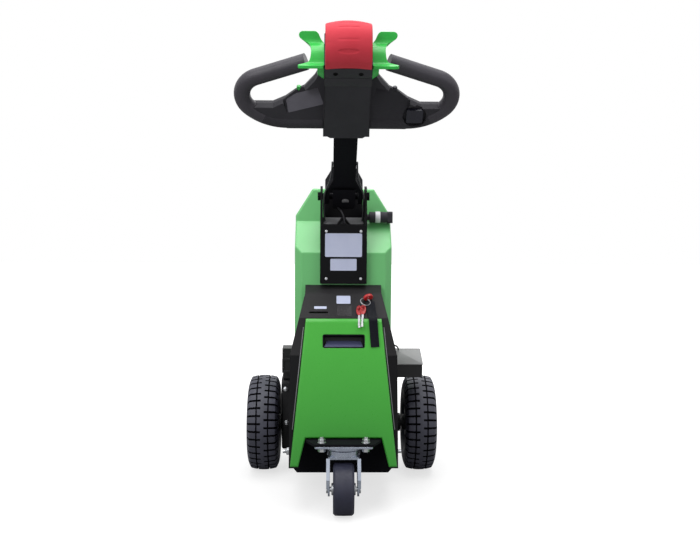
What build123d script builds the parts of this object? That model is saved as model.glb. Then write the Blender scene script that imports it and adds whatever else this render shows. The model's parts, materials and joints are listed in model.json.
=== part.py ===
from build123d import *
import os
from math import asin, atan2, cos, hypot, radians, sin, tan

os.makedirs("parts", exist_ok=True)

# Drive wheels: two pneumatic block-tread tyres on one axle at the front
tyre_diameter = 260.0
tyre_width = 86.0
wheel_gap = 38.0
bead_radius = 52.0
hub_radius = 20.0
hub_nose_radius = 15.0
hub_nose_reach = 5.0
axle_tube_radius = 25.0
half_shaft_radius = 12.0
half_shaft_depth = 60.0

# Swivel castor under the operator's end
castor_behind_axle = 359.0
castor_trail = 36.0
fork_head_height = 13.0
castor_wheel_diameter = 125.0
castor_wheel_width = 50.0
castor_tread = 20.0
castor_bore = 6.0
castor_plate_width = 140.0
castor_plate_length = 110.0
castor_plate_thickness = 5.0
castor_holes_x = 105.0
castor_holes_y = 80.0
castor_bolt_radius = 5.0
race_radius = 43.0
race_height = 12.0
crown_clearance = 9.0
crown_length = 74.0
crown_thickness = 6.0
fork_inner_width = 66.0
fork_leg_thickness = 4.5
fork_flange = 4.0
well_clearance = 7.5

# Steel chassis
sheet = 4.0
deck_ledge = 7.0
chassis_nose = 10.0
chassis_drop = 55.0
tray_drop = 15.0
tray_corner = 12.0
side_rise = 225.0
shoulder_rise = 70.0
leg_drop = 62.0
bracket_thickness = 6.0

# Battery bay: its sloping rear face, the cover and the operator's panel above it
rear_lean = 15.0
rear_overhang = 10.0
lip_rise = 90.0
panel_face_rise = 53.0
panel_bevel_rise = 18.0
panel_bevel_run = 36.0
panel_width = 194.0
cover_depth = 10.0
cover_wall = 3.0
cover_edge = 4.0
cover_gap = 8.0
cover_reveal = 3.0
cover_leg_gap = 3.0
grip_width = 104.0
grip_height = 34.0
grip_depth = 30.0
grip_below_lip = 54.0
battery_clearance = 5.0
battery_width = 210.0
battery_height = 195.0

# Hood over the drive unit
hood_width = 250.0
hood_rear = 174.0
hood_front = 140.0
hood_top_front = 30.0
hood_front_lean = 15.0
hood_front_rise = 256.0
hood_slope_run = 80.0
hood_slope_rise = 77.0
hood_face_rise = 85.0
hood_face_run = 4.0
hood_top_width = 162.0
hood_chamfer_rise = 70.0
hood_corner = 17.0
hood_round = 5.0
hood_wall = 3.0

# Tiller bracket
bracket_gap = 5.0
sill_above_bracket = 78.0
plate_above_sill = 72.0
bracket_stand = 20.0
tiller_bracket_width = 119.0
cheek_thickness = 6.0
cheek_radius = 26.0
shelf_rise = 17.0
shelf_run = 80.0
notch_half = 15.0
notch_margin = 8.0

# Tiller arm
pivot_behind_axle = 154.0
pivot_drop = 18.0
pivot_radius = 8.0
tiller_angle = 30.0
arm_width = 55.0
arm_depth = 40.0
arm_wall = 5.0
yoke_gap = 6.0
yoke_wall = 11.0
yoke_slot_depth = 55.0
yoke_straight = 50.0
yoke_taper = 65.0

# Tiller head
head_start = 334.0
head_corner = 14.0
head_length = 278.0
head_width = 104.0
head_neck_width = 98.0
head_depth = 90.0
head_cap = 8.0
head_round = 10.0
head_cover_thickness = 4.0
button_radius = 48.0
button_stretch = 13.0
button_width = 94.0
grip_radius = 18.0
grip_clearance = 0.3
loop_back = 229.0
loop_below = 20.0
loop_lean = 19.65
loop_straight = 131.0
bend_large = 116.0
bend_small = 48.0
stub_reach = 52.0
wing_half = 14.0
paddle_back = 42.0
paddle_disc = 37.0
paddle_disc_thickness = 5.0
paddle_inner = 30.0
paddle_outer = 60.0
paddle_thickness = 7.0
paddle_reach = 52.0
paddle_web_reach = 24.0
paddle_angle = 48.0

# Tow coupling
jaw_width = 70.0
jaw_reach = 72.0
jaw_gap = 40.0
jaw_plate = 10.0
jaw_rise = 80.0
jaw_bolt_x = 90.0
jaw_bolt_y = 80.0
jaw_margin = 15.0
jaw_bolt_radius = 5.3
tow_pin_radius = 10.25
base_plate = 8.0

# Hexagon heads and running clearances
hex_radius = 9.0
hex_height = 7.0
washer_radius = 10.0
washer_thickness = 2.5
thread_end = 5.0
hole_clearance = 0.2
running_clearance = 0.05
seat_clearance = 0.1
swivel_clearance = 0.3

# Heights, from the floor up
axle_height = tyre_diameter / 2
castor_radius = castor_wheel_diameter / 2
crown_top = castor_wheel_diameter + crown_clearance + crown_thickness
castor_height = crown_top + fork_head_height + race_height + castor_plate_thickness
chassis_bottom = axle_height - chassis_drop
floor_bottom = chassis_bottom - tray_drop
deck_height = chassis_bottom + side_rise
bay_shoulder_height = deck_height + shoulder_rise
leg_bottom = castor_height - leg_drop
bracket_top = castor_height + bracket_thickness
panel_lip_height = bay_shoulder_height + lip_rise
panel_bend_height = panel_lip_height + panel_face_rise
panel_top_height = panel_bend_height + panel_bevel_rise
cover_top_height = panel_lip_height - cover_gap
cover_bottom_height = leg_bottom + cover_leg_gap
grip_centre = panel_lip_height - grip_below_lip
bracket_bottom = panel_top_height + bracket_gap
hood_sill_height = bracket_bottom + sill_above_bracket
bracket_plate_top = hood_sill_height + plate_above_sill
hood_step_height = hood_sill_height + hood_slope_rise
hood_height = hood_step_height + hood_face_rise
pivot_height = hood_height - pivot_drop
jaw_height = axle_height + jaw_rise

# Lengths measured from the drive axle, and widths
chassis_width = hood_width + 2 * deck_ledge
chassis_front = hood_front + chassis_nose
side_inner = chassis_width / 2 - sheet
wheel_x = chassis_width / 2 + wheel_gap + tyre_width / 2
castor_sweep = hypot(castor_trail + castor_radius, castor_wheel_width / 2)
well_wall_behind_axle = castor_behind_axle - castor_sweep - well_clearance
rear_foot_behind_axle = castor_behind_axle + rear_overhang
panel_bend_behind_axle = hood_rear + panel_bevel_run
bracket_rear = hood_rear + bracket_stand
cover_top_width = panel_width - 2 * cover_reveal
cover_bottom_width = chassis_width - 2 * cover_reveal
head_end = head_start + head_length
button_centre = head_end + button_stretch
loop_at = head_end - loop_back
yoke_width = tiller_bracket_width - 2 * cheek_thickness - 2 * yoke_gap
yoke_slot = yoke_width - 2 * yoke_wall
lean = radians(rear_lean)
phi = radians(tiller_angle)
front_reach = chassis_front + base_plate + jaw_reach
rear_reach = pivot_behind_axle + button_centre * cos(phi) + button_radius
axle_y = (rear_reach - front_reach) / 2

# Planes: side looks along +X, cross along +Y, plan down; all are measured from the drive axle
side = Plane(origin=(0, axle_y, 0), x_dir=(0, 1, 0), z_dir=(1, 0, 0))
cross = Plane(origin=(0, axle_y, 0), x_dir=(1, 0, 0), z_dir=(0, -1, 0))
plan = Plane(origin=(0, axle_y, 0), x_dir=(1, 0, 0), z_dir=(0, 0, 1))
rear_face = Plane(
    origin=(0, axle_y - rear_foot_behind_axle, bracket_top),
    x_dir=(1, 0, 0),
    z_dir=(0, -cos(lean), sin(lean)),
)
rim_face = rear_face.offset(-cover_depth)
flange_inset = cover_depth / cos(lean)

# The tiller's own planes: arm_plane has its underside at +Z, arm_side shows its length and depth
pivot = Vector(0, axle_y - pivot_behind_axle, pivot_height)
along = Vector(0, -cos(phi), sin(phi))
above = Vector(0, sin(phi), cos(phi))
arm_plane = Plane(origin=pivot, x_dir=(1, 0, 0), z_dir=above * -1)
arm_side = Plane(origin=pivot, x_dir=along, z_dir=(-1, 0, 0))


def rear_y(height):
    return -rear_foot_behind_axle + (height - bracket_top) * tan(lean)


def up_face(height):
    return (height - bracket_top) / cos(lean)


def up_rim(height):
    return up_face(height) + cover_depth * tan(lean)


def cover_half(height):
    share = (height - cover_bottom_height) / (cover_top_height - cover_bottom_height)
    return (cover_bottom_width + (cover_top_width - cover_bottom_width) * share) / 2


def keep(piece, name):
    piece.part.label = name
    export_step(piece.part, "parts/" + name + ".step")


# Side plates of the chassis, with a rim folded inward along the sloping rear face
rim_under_cover = 10.0
rim_at_leg = 18.0
for name, hand in (("left", -1), ("right", 1)):
    start = side_inner if hand > 0 else -chassis_width / 2
    with BuildPart() as frame_side:
        with BuildSketch(side.offset(start)):
            with BuildLine():
                Polyline(
                    (-well_wall_behind_axle, chassis_bottom),
                    (chassis_front - sheet, chassis_bottom),
                    (chassis_front - sheet, deck_height),
                    (-hood_rear, deck_height),
                    (-hood_rear, bay_shoulder_height),
                    (rear_y(bay_shoulder_height) + flange_inset, bay_shoulder_height),
                    (rear_y(leg_bottom) + flange_inset, leg_bottom),
                    (-well_wall_behind_axle, leg_bottom),
                    close=True,
                )
            make_face()
            with Locations((0, axle_height)):
                Circle(axle_tube_radius + hole_clearance, mode=Mode.SUBTRACT)
        extrude(amount=sheet)
        with BuildSketch(rim_face):
            with BuildLine():
                low = up_rim(leg_bottom)
                high = up_rim(bay_shoulder_height)
                Polyline(
                    (hand * side_inner, low),
                    (hand * side_inner, high),
                    (hand * (cover_half(bay_shoulder_height) - rim_under_cover), high),
                    (hand * (cover_half(leg_bottom) - rim_at_leg), low),
                    close=True,
                )
            make_face()
        extrude(amount=-sheet)
    keep(frame_side, "frame_" + name)

# Floor tray with bent-up edges, castor well wall, front plate and deck
tray_flange = 17.0
tray_length = chassis_front - sheet + well_wall_behind_axle - sheet
with BuildPart() as floor_plate:
    with BuildSketch(cross.offset(-chassis_front + sheet)):
        with BuildLine():
            Polyline(
                (-side_inner, chassis_bottom + tray_flange),
                (-side_inner, chassis_bottom),
                (-side_inner + tray_corner, floor_bottom),
                (side_inner - tray_corner, floor_bottom),
                (side_inner, chassis_bottom),
                (side_inner, chassis_bottom + tray_flange),
                (side_inner - sheet, chassis_bottom + tray_flange),
                (side_inner - sheet, chassis_bottom + sheet / 2),
                (side_inner - tray_corner - sheet / 2, floor_bottom + sheet),
                (-side_inner + tray_corner + sheet / 2, floor_bottom + sheet),
                (-side_inner + sheet, chassis_bottom + sheet / 2),
                (-side_inner + sheet, chassis_bottom + tray_flange),
                close=True,
            )
        make_face()
    extrude(amount=tray_length)
keep(floor_plate, "floor_plate")

with BuildPart() as well_wall:
    with BuildSketch(cross.offset(well_wall_behind_axle)):
        with BuildLine():
            Polyline(
                (-side_inner, castor_height),
                (-side_inner, chassis_bottom),
                (-side_inner + tray_corner, floor_bottom),
                (side_inner - tray_corner, floor_bottom),
                (side_inner, chassis_bottom),
                (side_inner, castor_height),
                close=True,
            )
        make_face()
    extrude(amount=-sheet)
keep(well_wall, "castor_well_wall")

with BuildPart() as front_plate:
    with BuildSketch(cross.offset(-chassis_front + sheet)):
        with BuildLine():
            Polyline(
                (-chassis_width / 2, deck_height),
                (-chassis_width / 2, chassis_bottom),
                (-side_inner + tray_corner, floor_bottom),
                (side_inner - tray_corner, floor_bottom),
                (chassis_width / 2, chassis_bottom),
                (chassis_width / 2, deck_height),
                close=True,
            )
        make_face()
        with Locations((0, jaw_height)):
            with GridLocations(jaw_bolt_x, jaw_bolt_y, 2, 2):
                Circle(jaw_bolt_radius + hole_clearance, mode=Mode.SUBTRACT)
    extrude(amount=-sheet)
keep(front_plate, "front_plate")

with BuildPart() as deck_plate:
    with BuildSketch(plan.offset(deck_height)):
        with Locations((0, (chassis_front - hood_rear) / 2)):
            Rectangle(chassis_width, chassis_front + hood_rear)
    extrude(amount=sheet)
keep(deck_plate, "deck_plate")

# Horizontal bracket that carries the castor, narrowing to the castor plate's rear edge
nose_half = castor_plate_width / 2
cut_half_high = 91.0
bracket_step = rear_y(castor_height) + flange_inset + 2 * sheet
bracket_nose = -castor_behind_axle - castor_plate_length / 2
with BuildPart() as rear_bracket:
    with BuildSketch(plan.offset(castor_height)):
        with BuildLine():
            Polyline(
                (-side_inner, -well_wall_behind_axle + sheet),
                (side_inner, -well_wall_behind_axle + sheet),
                (side_inner, bracket_step),
                (cut_half_high, bracket_step),
                (cut_half_high, rear_y(castor_height)),
                (nose_half, bracket_nose),
                (-nose_half, bracket_nose),
                (-cut_half_high, rear_y(castor_height)),
                (-cut_half_high, bracket_step),
                (-side_inner, bracket_step),
                close=True,
            )
        make_face()
        with Locations((0, -castor_behind_axle)):
            with GridLocations(castor_holes_x, castor_holes_y, 2, 2):
                Circle(castor_bolt_radius + hole_clearance, mode=Mode.SUBTRACT)
    extrude(amount=bracket_thickness)
keep(rear_bracket, "rear_bracket")

# Control housing: leaning side walls, rim behind the cover and the sloping operator's panel
panel_lip_y = rear_y(panel_lip_height) + flange_inset
panel_slope = atan2(panel_face_rise, -panel_bend_behind_axle - panel_lip_y)
panel_face = Plane(
    origin=(0, axle_y - panel_bend_behind_axle, panel_bend_height),
    x_dir=(1, 0, 0),
    z_dir=(0, -sin(panel_slope), cos(panel_slope)),
)
panel_length = panel_face_rise / sin(panel_slope)
rim_overlap = 8.0
rim_lap = 20.0
slot_width = 47.0
slot_height = 6.0
slot_x = -62.0
slot_from_lip = 20.0
with BuildPart() as housing:
    with BuildSketch(side):
        with BuildLine():
            Polyline(
                (rear_y(bay_shoulder_height) + flange_inset, bay_shoulder_height),
                (panel_lip_y, panel_lip_height),
                (-panel_bend_behind_axle, panel_bend_height),
                (-hood_rear, panel_top_height),
                (-hood_rear, bay_shoulder_height),
                close=True,
            )
        make_face()
    extrude(amount=chassis_width / 2, both=True)
    with BuildSketch(cross):
        with BuildLine():
            Polyline(
                (-chassis_width / 2, bay_shoulder_height),
                (chassis_width / 2, bay_shoulder_height),
                (panel_width / 2, panel_bend_height),
                (panel_width / 2, panel_top_height),
                (-panel_width / 2, panel_top_height),
                (-panel_width / 2, panel_bend_height),
                close=True,
            )
        make_face()
    extrude(amount=2 * rear_foot_behind_axle, both=True, mode=Mode.INTERSECT)
    opened = housing.faces().filter_by(Axis.Z).sort_by(Axis.Z)[:1]
    opened += housing.faces().filter_by(Axis.Y).sort_by(Axis.Y)[-1:]
    offset(amount=-sheet, openings=opened)
    with BuildSketch(rim_face):
        with BuildLine():
            low = up_rim(bay_shoulder_height) - rim_lap
            high = up_rim(cover_top_height) - rim_overlap
            low_half = cover_half(bay_shoulder_height) - rim_under_cover
            high_half = cover_half(cover_top_height) - rim_under_cover
            Polyline(
                (-low_half, low),
                (low_half, low),
                (high_half, high),
                (-high_half, high),
                close=True,
            )
        make_face()
    extrude(amount=-2 * sheet, mode=Mode.SUBTRACT)
    with BuildSketch(panel_face):
        with Locations((slot_x, slot_from_lip - panel_length)):
            SlotOverall(slot_width, slot_height)
    extrude(amount=-2 * sheet, mode=Mode.SUBTRACT)
keep(housing, "control_housing")

# Battery cover: a green pan with folded edges, a grip recess and a cut-out round the castor bracket
cut_half_low = 109.0
cut_gap = 1.0
pan_above_notch = 10.0
with BuildPart() as cover:
    with BuildSketch(rim_face):
        with BuildLine():
            low = up_rim(cover_bottom_height)
            high = up_rim(cover_top_height)
            notch = up_rim(bracket_top) + cut_gap
            Polyline(
                (-cover_half(cover_bottom_height), low),
                (-cut_half_low, low),
                (-cut_half_high - cut_gap, notch),
                (cut_half_high + cut_gap, notch),
                (cut_half_low, low),
                (cover_half(cover_bottom_height), low),
                (cover_half(cover_top_height), high),
                (-cover_half(cover_top_height), high),
                close=True,
            )
        make_face()
    extrude(amount=cover_depth)
    outside = cover.faces().sort_by(Axis(rear_face.origin, rear_face.z_dir))[-1]
    fillet(outside.edges(), cover_edge)
    with BuildSketch(rim_face):
        with BuildLine():
            pan_low_half = cover_half(bracket_top + pan_above_notch) - cover_wall
            Polyline(
                (-pan_low_half, notch + cover_wall),
                (pan_low_half, notch + cover_wall),
                (cover_half(cover_top_height) - cover_wall, high - cover_wall),
                (-cover_half(cover_top_height) + cover_wall, high - cover_wall),
                close=True,
            )
        make_face()
    extrude(amount=cover_depth - cover_wall, mode=Mode.SUBTRACT)
    grip_corner = 5.0
    well_width = grip_width + 2 * cover_wall
    well_height = grip_height + 2 * cover_wall
    with BuildSketch(rear_face):
        with Locations((0, up_face(grip_centre))):
            RectangleRounded(grip_width, grip_height, grip_corner)
    extrude(amount=-2 * cover_depth, mode=Mode.SUBTRACT)
    with BuildSketch(rear_face):
        with Locations((0, up_face(grip_centre))):
            RectangleRounded(well_width, well_height, grip_corner + cover_wall)
            RectangleRounded(grip_width, grip_height, grip_corner, mode=Mode.SUBTRACT)
    extrude(amount=-grip_depth)
    with BuildSketch(rear_face.offset(-grip_depth)):
        with Locations((0, up_face(grip_centre))):
            RectangleRounded(well_width, well_height, grip_corner + cover_wall)
    extrude(amount=cover_wall)
keep(cover, "battery_cover")

# Battery pack standing on the floor between the castor well and the differential
case_radius = 52.0
battery_rear = well_wall_behind_axle - sheet - battery_clearance
battery_front = case_radius + battery_clearance
with BuildPart() as battery:
    with BuildSketch(plan.offset(floor_bottom + sheet)):
        with Locations((0, -(battery_rear + battery_front) / 2)):
            Rectangle(battery_width, battery_rear - battery_front)
    extrude(amount=battery_height)
keep(battery, "battery_pack")

# Hood: a faceted shell with a stepped rear face, chamfered corners and softened edges
hood_bottom = deck_height + sheet
with BuildPart() as hood:
    with BuildSketch(side):
        with BuildLine():
            Polyline(
                (-hood_rear, hood_bottom),
                (-hood_rear, hood_sill_height),
                (-hood_rear + hood_slope_run, hood_step_height),
                (-hood_rear + hood_slope_run + hood_face_run, hood_height),
                (hood_top_front, hood_height),
                (hood_front - hood_front_lean, hood_bottom + hood_front_rise),
                (hood_front, hood_bottom),
                close=True,
            )
        make_face()
    extrude(amount=hood_width / 2, both=True)
    with BuildSketch(cross):
        with BuildLine():
            Polyline(
                (-hood_width / 2, hood_bottom),
                (hood_width / 2, hood_bottom),
                (hood_width / 2, hood_height - hood_chamfer_rise),
                (hood_top_width / 2, hood_height),
                (-hood_top_width / 2, hood_height),
                (-hood_width / 2, hood_height - hood_chamfer_rise),
                close=True,
            )
        make_face()
    extrude(amount=2 * rear_foot_behind_axle, both=True, mode=Mode.INTERSECT)
    chamfer(hood.edges().filter_by(Axis.Z), hood_corner)
    foot = hood.faces().sort_by(Axis.Z)[0]
    crisp = foot.edges()
    folds = hood.edges().filter_by(lambda edge: all((edge @ 0.5 - e @ 0.5).length > 0.1 for e in crisp))
    fillet(folds, hood_round)
    offset(amount=-hood_wall, openings=hood.faces().sort_by(Axis.Z)[:1])
keep(hood, "hood")

# Tiller bracket: two cheeks standing off the hood's stepped face, joined by a rear plate and a shelf
cheek_inner = tiller_bracket_width / 2 - cheek_thickness
with BuildPart() as bracket:
    for start in (-tiller_bracket_width / 2, cheek_inner):
        with BuildSketch(side.offset(start)):
            with BuildLine():
                Polyline(
                    (-hood_rear, bracket_bottom),
                    (-hood_rear, hood_sill_height),
                    (-hood_rear + hood_slope_run, hood_step_height),
                    (-pivot_behind_axle + cheek_radius, pivot_height),
                    (-pivot_behind_axle - cheek_radius, pivot_height),
                    (-bracket_rear, bracket_plate_top),
                    (-bracket_rear, bracket_bottom),
                    close=True,
                )
            make_face()
            with Locations((-pivot_behind_axle, pivot_height)):
                Circle(cheek_radius)
                Circle(pivot_radius, mode=Mode.SUBTRACT)
        extrude(amount=cheek_thickness)
    with BuildSketch(cross.offset(bracket_rear)):
        with Locations((0, bracket_bottom)):
            Rectangle(2 * cheek_inner, bracket_plate_top - bracket_bottom, align=(Align.CENTER, Align.MIN))
    extrude(amount=-sheet)
    with BuildSketch(side.offset(-cheek_inner)):
        with BuildLine():
            Polyline(
                (-bracket_rear, bracket_plate_top),
                (-bracket_rear + shelf_run, bracket_plate_top + shelf_rise),
                (-bracket_rear + shelf_run, bracket_plate_top + shelf_rise - sheet),
                (-bracket_rear, bracket_plate_top - sheet),
                close=True,
            )
        make_face()
    extrude(amount=2 * cheek_inner)
    with BuildSketch(plan.offset(bracket_plate_top - sheet)):
        with BuildLine():
            Polyline(
                (-notch_half, -bracket_rear + notch_margin),
                (notch_half, -bracket_rear + notch_margin),
                (0, -bracket_rear + shelf_run - notch_margin),
                close=True,
            )
        make_face()
    extrude(amount=shelf_rise + 2 * sheet, mode=Mode.SUBTRACT)
keep(bracket, "tiller_bracket")

cover_plate_margin = 1.5
cover_plate_corner = 3.0
cover_plate_thickness = 3.0
with BuildPart() as bracket_cover:
    with BuildSketch(cross.offset(bracket_rear)):
        with Locations((0, (bracket_bottom + bracket_plate_top) / 2)):
            RectangleRounded(
                tiller_bracket_width - 2 * cover_plate_margin,
                bracket_plate_top - bracket_bottom,
                cover_plate_corner,
            )
    extrude(amount=cover_plate_thickness)
keep(bracket_cover, "bracket_cover_plate")

pivot_head_radius = 12.0
with BuildPart() as pivot_shaft:
    with BuildSketch(side.offset(-tiller_bracket_width / 2)):
        with Locations((-pivot_behind_axle, pivot_height)):
            Circle(pivot_radius)
    extrude(amount=tiller_bracket_width)
    for start in (-tiller_bracket_width / 2 - hex_height, tiller_bracket_width / 2):
        with BuildSketch(side.offset(start)):
            with Locations((-pivot_behind_axle, pivot_height)):
                RegularPolygon(pivot_head_radius, 6)
        extrude(amount=hex_height)
keep(pivot_shaft, "pivot_shaft")

# Release lever beside the bracket: a stem, a round grip and an end block at the hood's corner
lever_radius = 14.0
lever_stem_radius = 8.0
lever_stem = 9.0
lever_above_step = 12.0
lever_clearance = 2.0
lever_past_hood = 4.0
lever_block = 13.0
lever_block_height = 30.0
lever_block_corner = 6.0
lever_y = -hood_rear + hood_slope_run - lever_radius - lever_clearance
lever_height = hood_step_height + lever_above_step
lever_start = tiller_bracket_width / 2
lever_end = hood_width / 2 + lever_past_hood
with BuildPart() as lever:
    with BuildSketch(side.offset(lever_start)):
        with Locations((lever_y, lever_height)):
            Circle(lever_stem_radius)
    extrude(amount=lever_stem)
    with BuildSketch(side.offset(lever_start + lever_stem)):
        with Locations((lever_y, lever_height)):
            Circle(lever_radius)
    extrude(amount=lever_end - lever_block - lever_start - lever_stem)
    with BuildSketch(side.offset(lever_end - lever_block)):
        with Locations((lever_y, lever_height)):
            RectangleRounded(2 * lever_radius - 1, lever_block_height, lever_block_corner)
    extrude(amount=lever_block)
keep(lever, "release_lever")

# Key switch on the sloping panel, its keys and the woven tag
key_x = 62.0
key_down = 22.0
lock_radius = 11.0
lock_height = 5.0
shank_height = 8.0
bow_width = 24.0
bow_thickness = 8.0
bow_length = 22.0
spare_x = 39.0
spare_from_lip = 25.0
spare_width = 23.0
spare_length = 41.0
spare_thickness = 6.0
blade_width = 14.0
blade_length = 32.0
blade_thickness = 2.5
with BuildPart() as key_switch:
    with BuildSketch(panel_face):
        with Locations((key_x, -key_down)):
            Circle(lock_radius)
    extrude(amount=lock_height)
keep(key_switch, "key_switch")

with BuildPart() as keys:
    with BuildSketch(panel_face.offset(lock_height)):
        with Locations((key_x, -key_down)):
            RectangleRounded(bow_thickness - 3, bow_width / 2, 1)
    extrude(amount=shank_height)
    with BuildSketch(panel_face.offset(lock_height + shank_height)):
        with Locations((key_x, -key_down)):
            RectangleRounded(bow_thickness, bow_width, 3)
    extrude(amount=bow_length)
    with BuildSketch(panel_face):
        with Locations((spare_x, spare_from_lip - panel_length)):
            RectangleRounded(spare_width, spare_length, spare_width / 3)
    extrude(amount=spare_thickness)
    with BuildSketch(panel_face.offset(spare_thickness / 2 - blade_thickness / 2)):
        with Locations((spare_x, spare_from_lip - panel_length - spare_length / 2)):
            Rectangle(blade_width, blade_length, align=(Align.CENTER, Align.MAX))
    extrude(amount=blade_thickness)
keep(keys, "key_set")

tag_width = 21.0
tag_x = 72.0
tag_thickness = 1.6
tag_clearance = 0.3
tag_start = 30.0
tag_drop = 61.0
tag_off = tag_thickness / 2 + tag_clearance
tag_start_height = panel_bend_height - tag_start * tan(panel_slope) + 2 * tag_off
with BuildPart() as tag:
    with BuildSketch(side.offset(tag_x - tag_width / 2)):
        with BuildLine():
            Polyline(
                (-panel_bend_behind_axle - tag_start, tag_start_height),
                (panel_lip_y, panel_lip_height + 2 * tag_off),
                (rear_y(cover_top_height) - tag_off, cover_top_height + 2 * tag_off),
                (rear_y(cover_top_height - tag_drop) - 2 * tag_off, cover_top_height - tag_drop),
            )
        trace(line_width=tag_thickness)
    extrude(amount=tag_width)
keep(tag, "key_tag")

# Drive unit: axle tubes with the differential case, the motor over it, and the casing on the left
tube_gap = 8.0
tube_end = wheel_x - tyre_width / 2 - tube_gap
case_width = 90.0
motor_radius = 52.0
motor_length = 150.0
motor_forward = 45.0
motor_rise = 95.0
motor_foot_width = 40.0
motor_foot_length = 70.0
motor_foot_drop = 75.0
with BuildPart() as drive_axle:
    with BuildSketch(side.offset(-tube_end)):
        with Locations((0, axle_height)):
            Circle(axle_tube_radius)
    extrude(amount=2 * tube_end)
    with BuildSketch(side.offset(-case_width / 2)):
        with Locations((0, axle_height)):
            Circle(case_radius)
    extrude(amount=case_width)
    fillet(drive_axle.edges().filter_by(GeomType.CIRCLE).filter_by(lambda e: e.radius > case_radius - 1), 8)
    for start in (-tube_end, tube_end - half_shaft_depth):
        with BuildSketch(side.offset(start)):
            with Locations((0, axle_height)):
                Circle(half_shaft_radius + running_clearance)
        extrude(amount=half_shaft_depth, mode=Mode.SUBTRACT)
keep(drive_axle, "drive_axle")

motor_height = axle_height + motor_rise
with BuildPart() as motor:
    with BuildSketch(side.offset(-motor_length / 2)):
        with Locations((motor_forward, motor_height)):
            Circle(motor_radius)
    extrude(amount=motor_length)
    fillet(motor.edges().filter_by(GeomType.CIRCLE), 6)
    with BuildSketch(side.offset(-motor_foot_width / 2)):
        with Locations((motor_forward, motor_height)):
            Rectangle(motor_foot_length, motor_foot_drop, align=(Align.MAX, Align.MAX))
    extrude(amount=motor_foot_width)
    with BuildSketch(side.offset(-case_width / 2)):
        with Locations((0, axle_height)):
            Circle(case_radius)
    extrude(amount=case_width, mode=Mode.SUBTRACT)
keep(motor, "drive_motor")

side_box_gap = 10.0
case_gap = 5.5
case_thickness = wheel_gap - case_gap
case_rear = 52.0
case_front = 48.0
case_rise = 132.0
case_drop = 70.0
case_foot_half = 35.0
case_corner = 16.0
case_face_round = 6.0
with BuildPart() as gear_case:
    with BuildSketch(side.offset(-chassis_width / 2 - case_thickness)):
        with BuildLine():
            Polyline(
                (-case_rear, axle_height),
                (-case_rear, axle_height + case_rise),
                (case_front, axle_height + case_rise),
                (case_front, axle_height),
                (case_foot_half, axle_height - case_drop),
                (-case_foot_half, axle_height - case_drop),
                close=True,
            )
        make_face()
        fillet(vertices(), case_corner)
        with Locations((0, axle_height)):
            Circle(axle_tube_radius + hole_clearance, mode=Mode.SUBTRACT)
    extrude(amount=case_thickness)
    outer_loop = gear_case.faces().sort_by(Axis.X)[0].outer_wire().edges()
    fillet(outer_loop, case_face_round)
keep(gear_case, "gear_case_left")

# Left box over the casing: a foot, a stepped body and a recessed face
box_wide = wheel_gap - side_box_gap
box_foot_rear = 52.0
box_foot_front = 8.0
box_foot_height = 27.0
box_step_rear = 110.0
box_body_rear = 96.0
box_body_front = 40.0
box_step_rise = 37.0
box_body_rise = 63.0
box_recess = 3.0
box_frame = 5.0
box_low = axle_height + case_rise + box_foot_height
with BuildPart() as brake_box:
    with BuildSketch(side.offset(-chassis_width / 2 - box_wide)):
        with BuildLine():
            Polyline(
                (-box_step_rear, box_low),
                (-box_step_rear, box_low + box_step_rise),
                (-box_body_rear, box_low + box_step_rise),
                (-box_body_rear, box_low + box_body_rise),
                (-box_body_front, box_low + box_body_rise),
                (-box_body_front, box_low),
                (-box_foot_front, box_low),
                (-box_foot_front, box_low - box_foot_height),
                (-box_foot_rear, box_low - box_foot_height),
                (-box_foot_rear, box_low),
                close=True,
            )
        make_face()
    extrude(amount=box_wide)
    with BuildSketch(cross.offset(box_step_rear)):
        with Locations((-chassis_width / 2 - box_wide / 2, box_low + box_step_rise / 2)):
            Rectangle(box_wide - 2 * box_frame, box_step_rise - 2 * box_frame)
    extrude(amount=-box_recess, mode=Mode.SUBTRACT)
keep(brake_box, "brake_box_left")

# Right box: grey, with a sloping top, on a flange against the side plate
box_near = 144.0
box_far = 54.0
box_rise = 154.0
box_bottom = axle_height + box_rise
box_near_rise = 34.0
box_far_rise = 60.0
box_reach = 74.0
box_round = 4.0
flange_margin = 8.0
flange_drop = 14.0
flange_rise = 18.0
with BuildPart() as side_box:
    with BuildSketch(side.offset(chassis_width / 2 + sheet)):
        with BuildLine():
            Polyline(
                (-box_near, box_bottom),
                (-box_near, box_bottom + box_near_rise),
                (-box_far, box_bottom + box_far_rise),
                (-box_far, box_bottom),
                close=True,
            )
        make_face()
    extrude(amount=box_reach)
    fillet(side_box.faces().sort_by(Axis.X)[-1].edges(), box_round)
    with BuildSketch(side.offset(chassis_width / 2)):
        with BuildLine():
            Polyline(
                (-box_near - flange_margin, box_bottom - flange_drop),
                (-box_near - flange_margin, box_bottom + box_far_rise + flange_rise),
                (-box_far + flange_margin, box_bottom + box_far_rise + flange_rise),
                (-box_far + flange_margin, box_bottom - flange_drop),
                close=True,
            )
        make_face()
    extrude(amount=sheet)
keep(side_box, "side_box_right")

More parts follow.
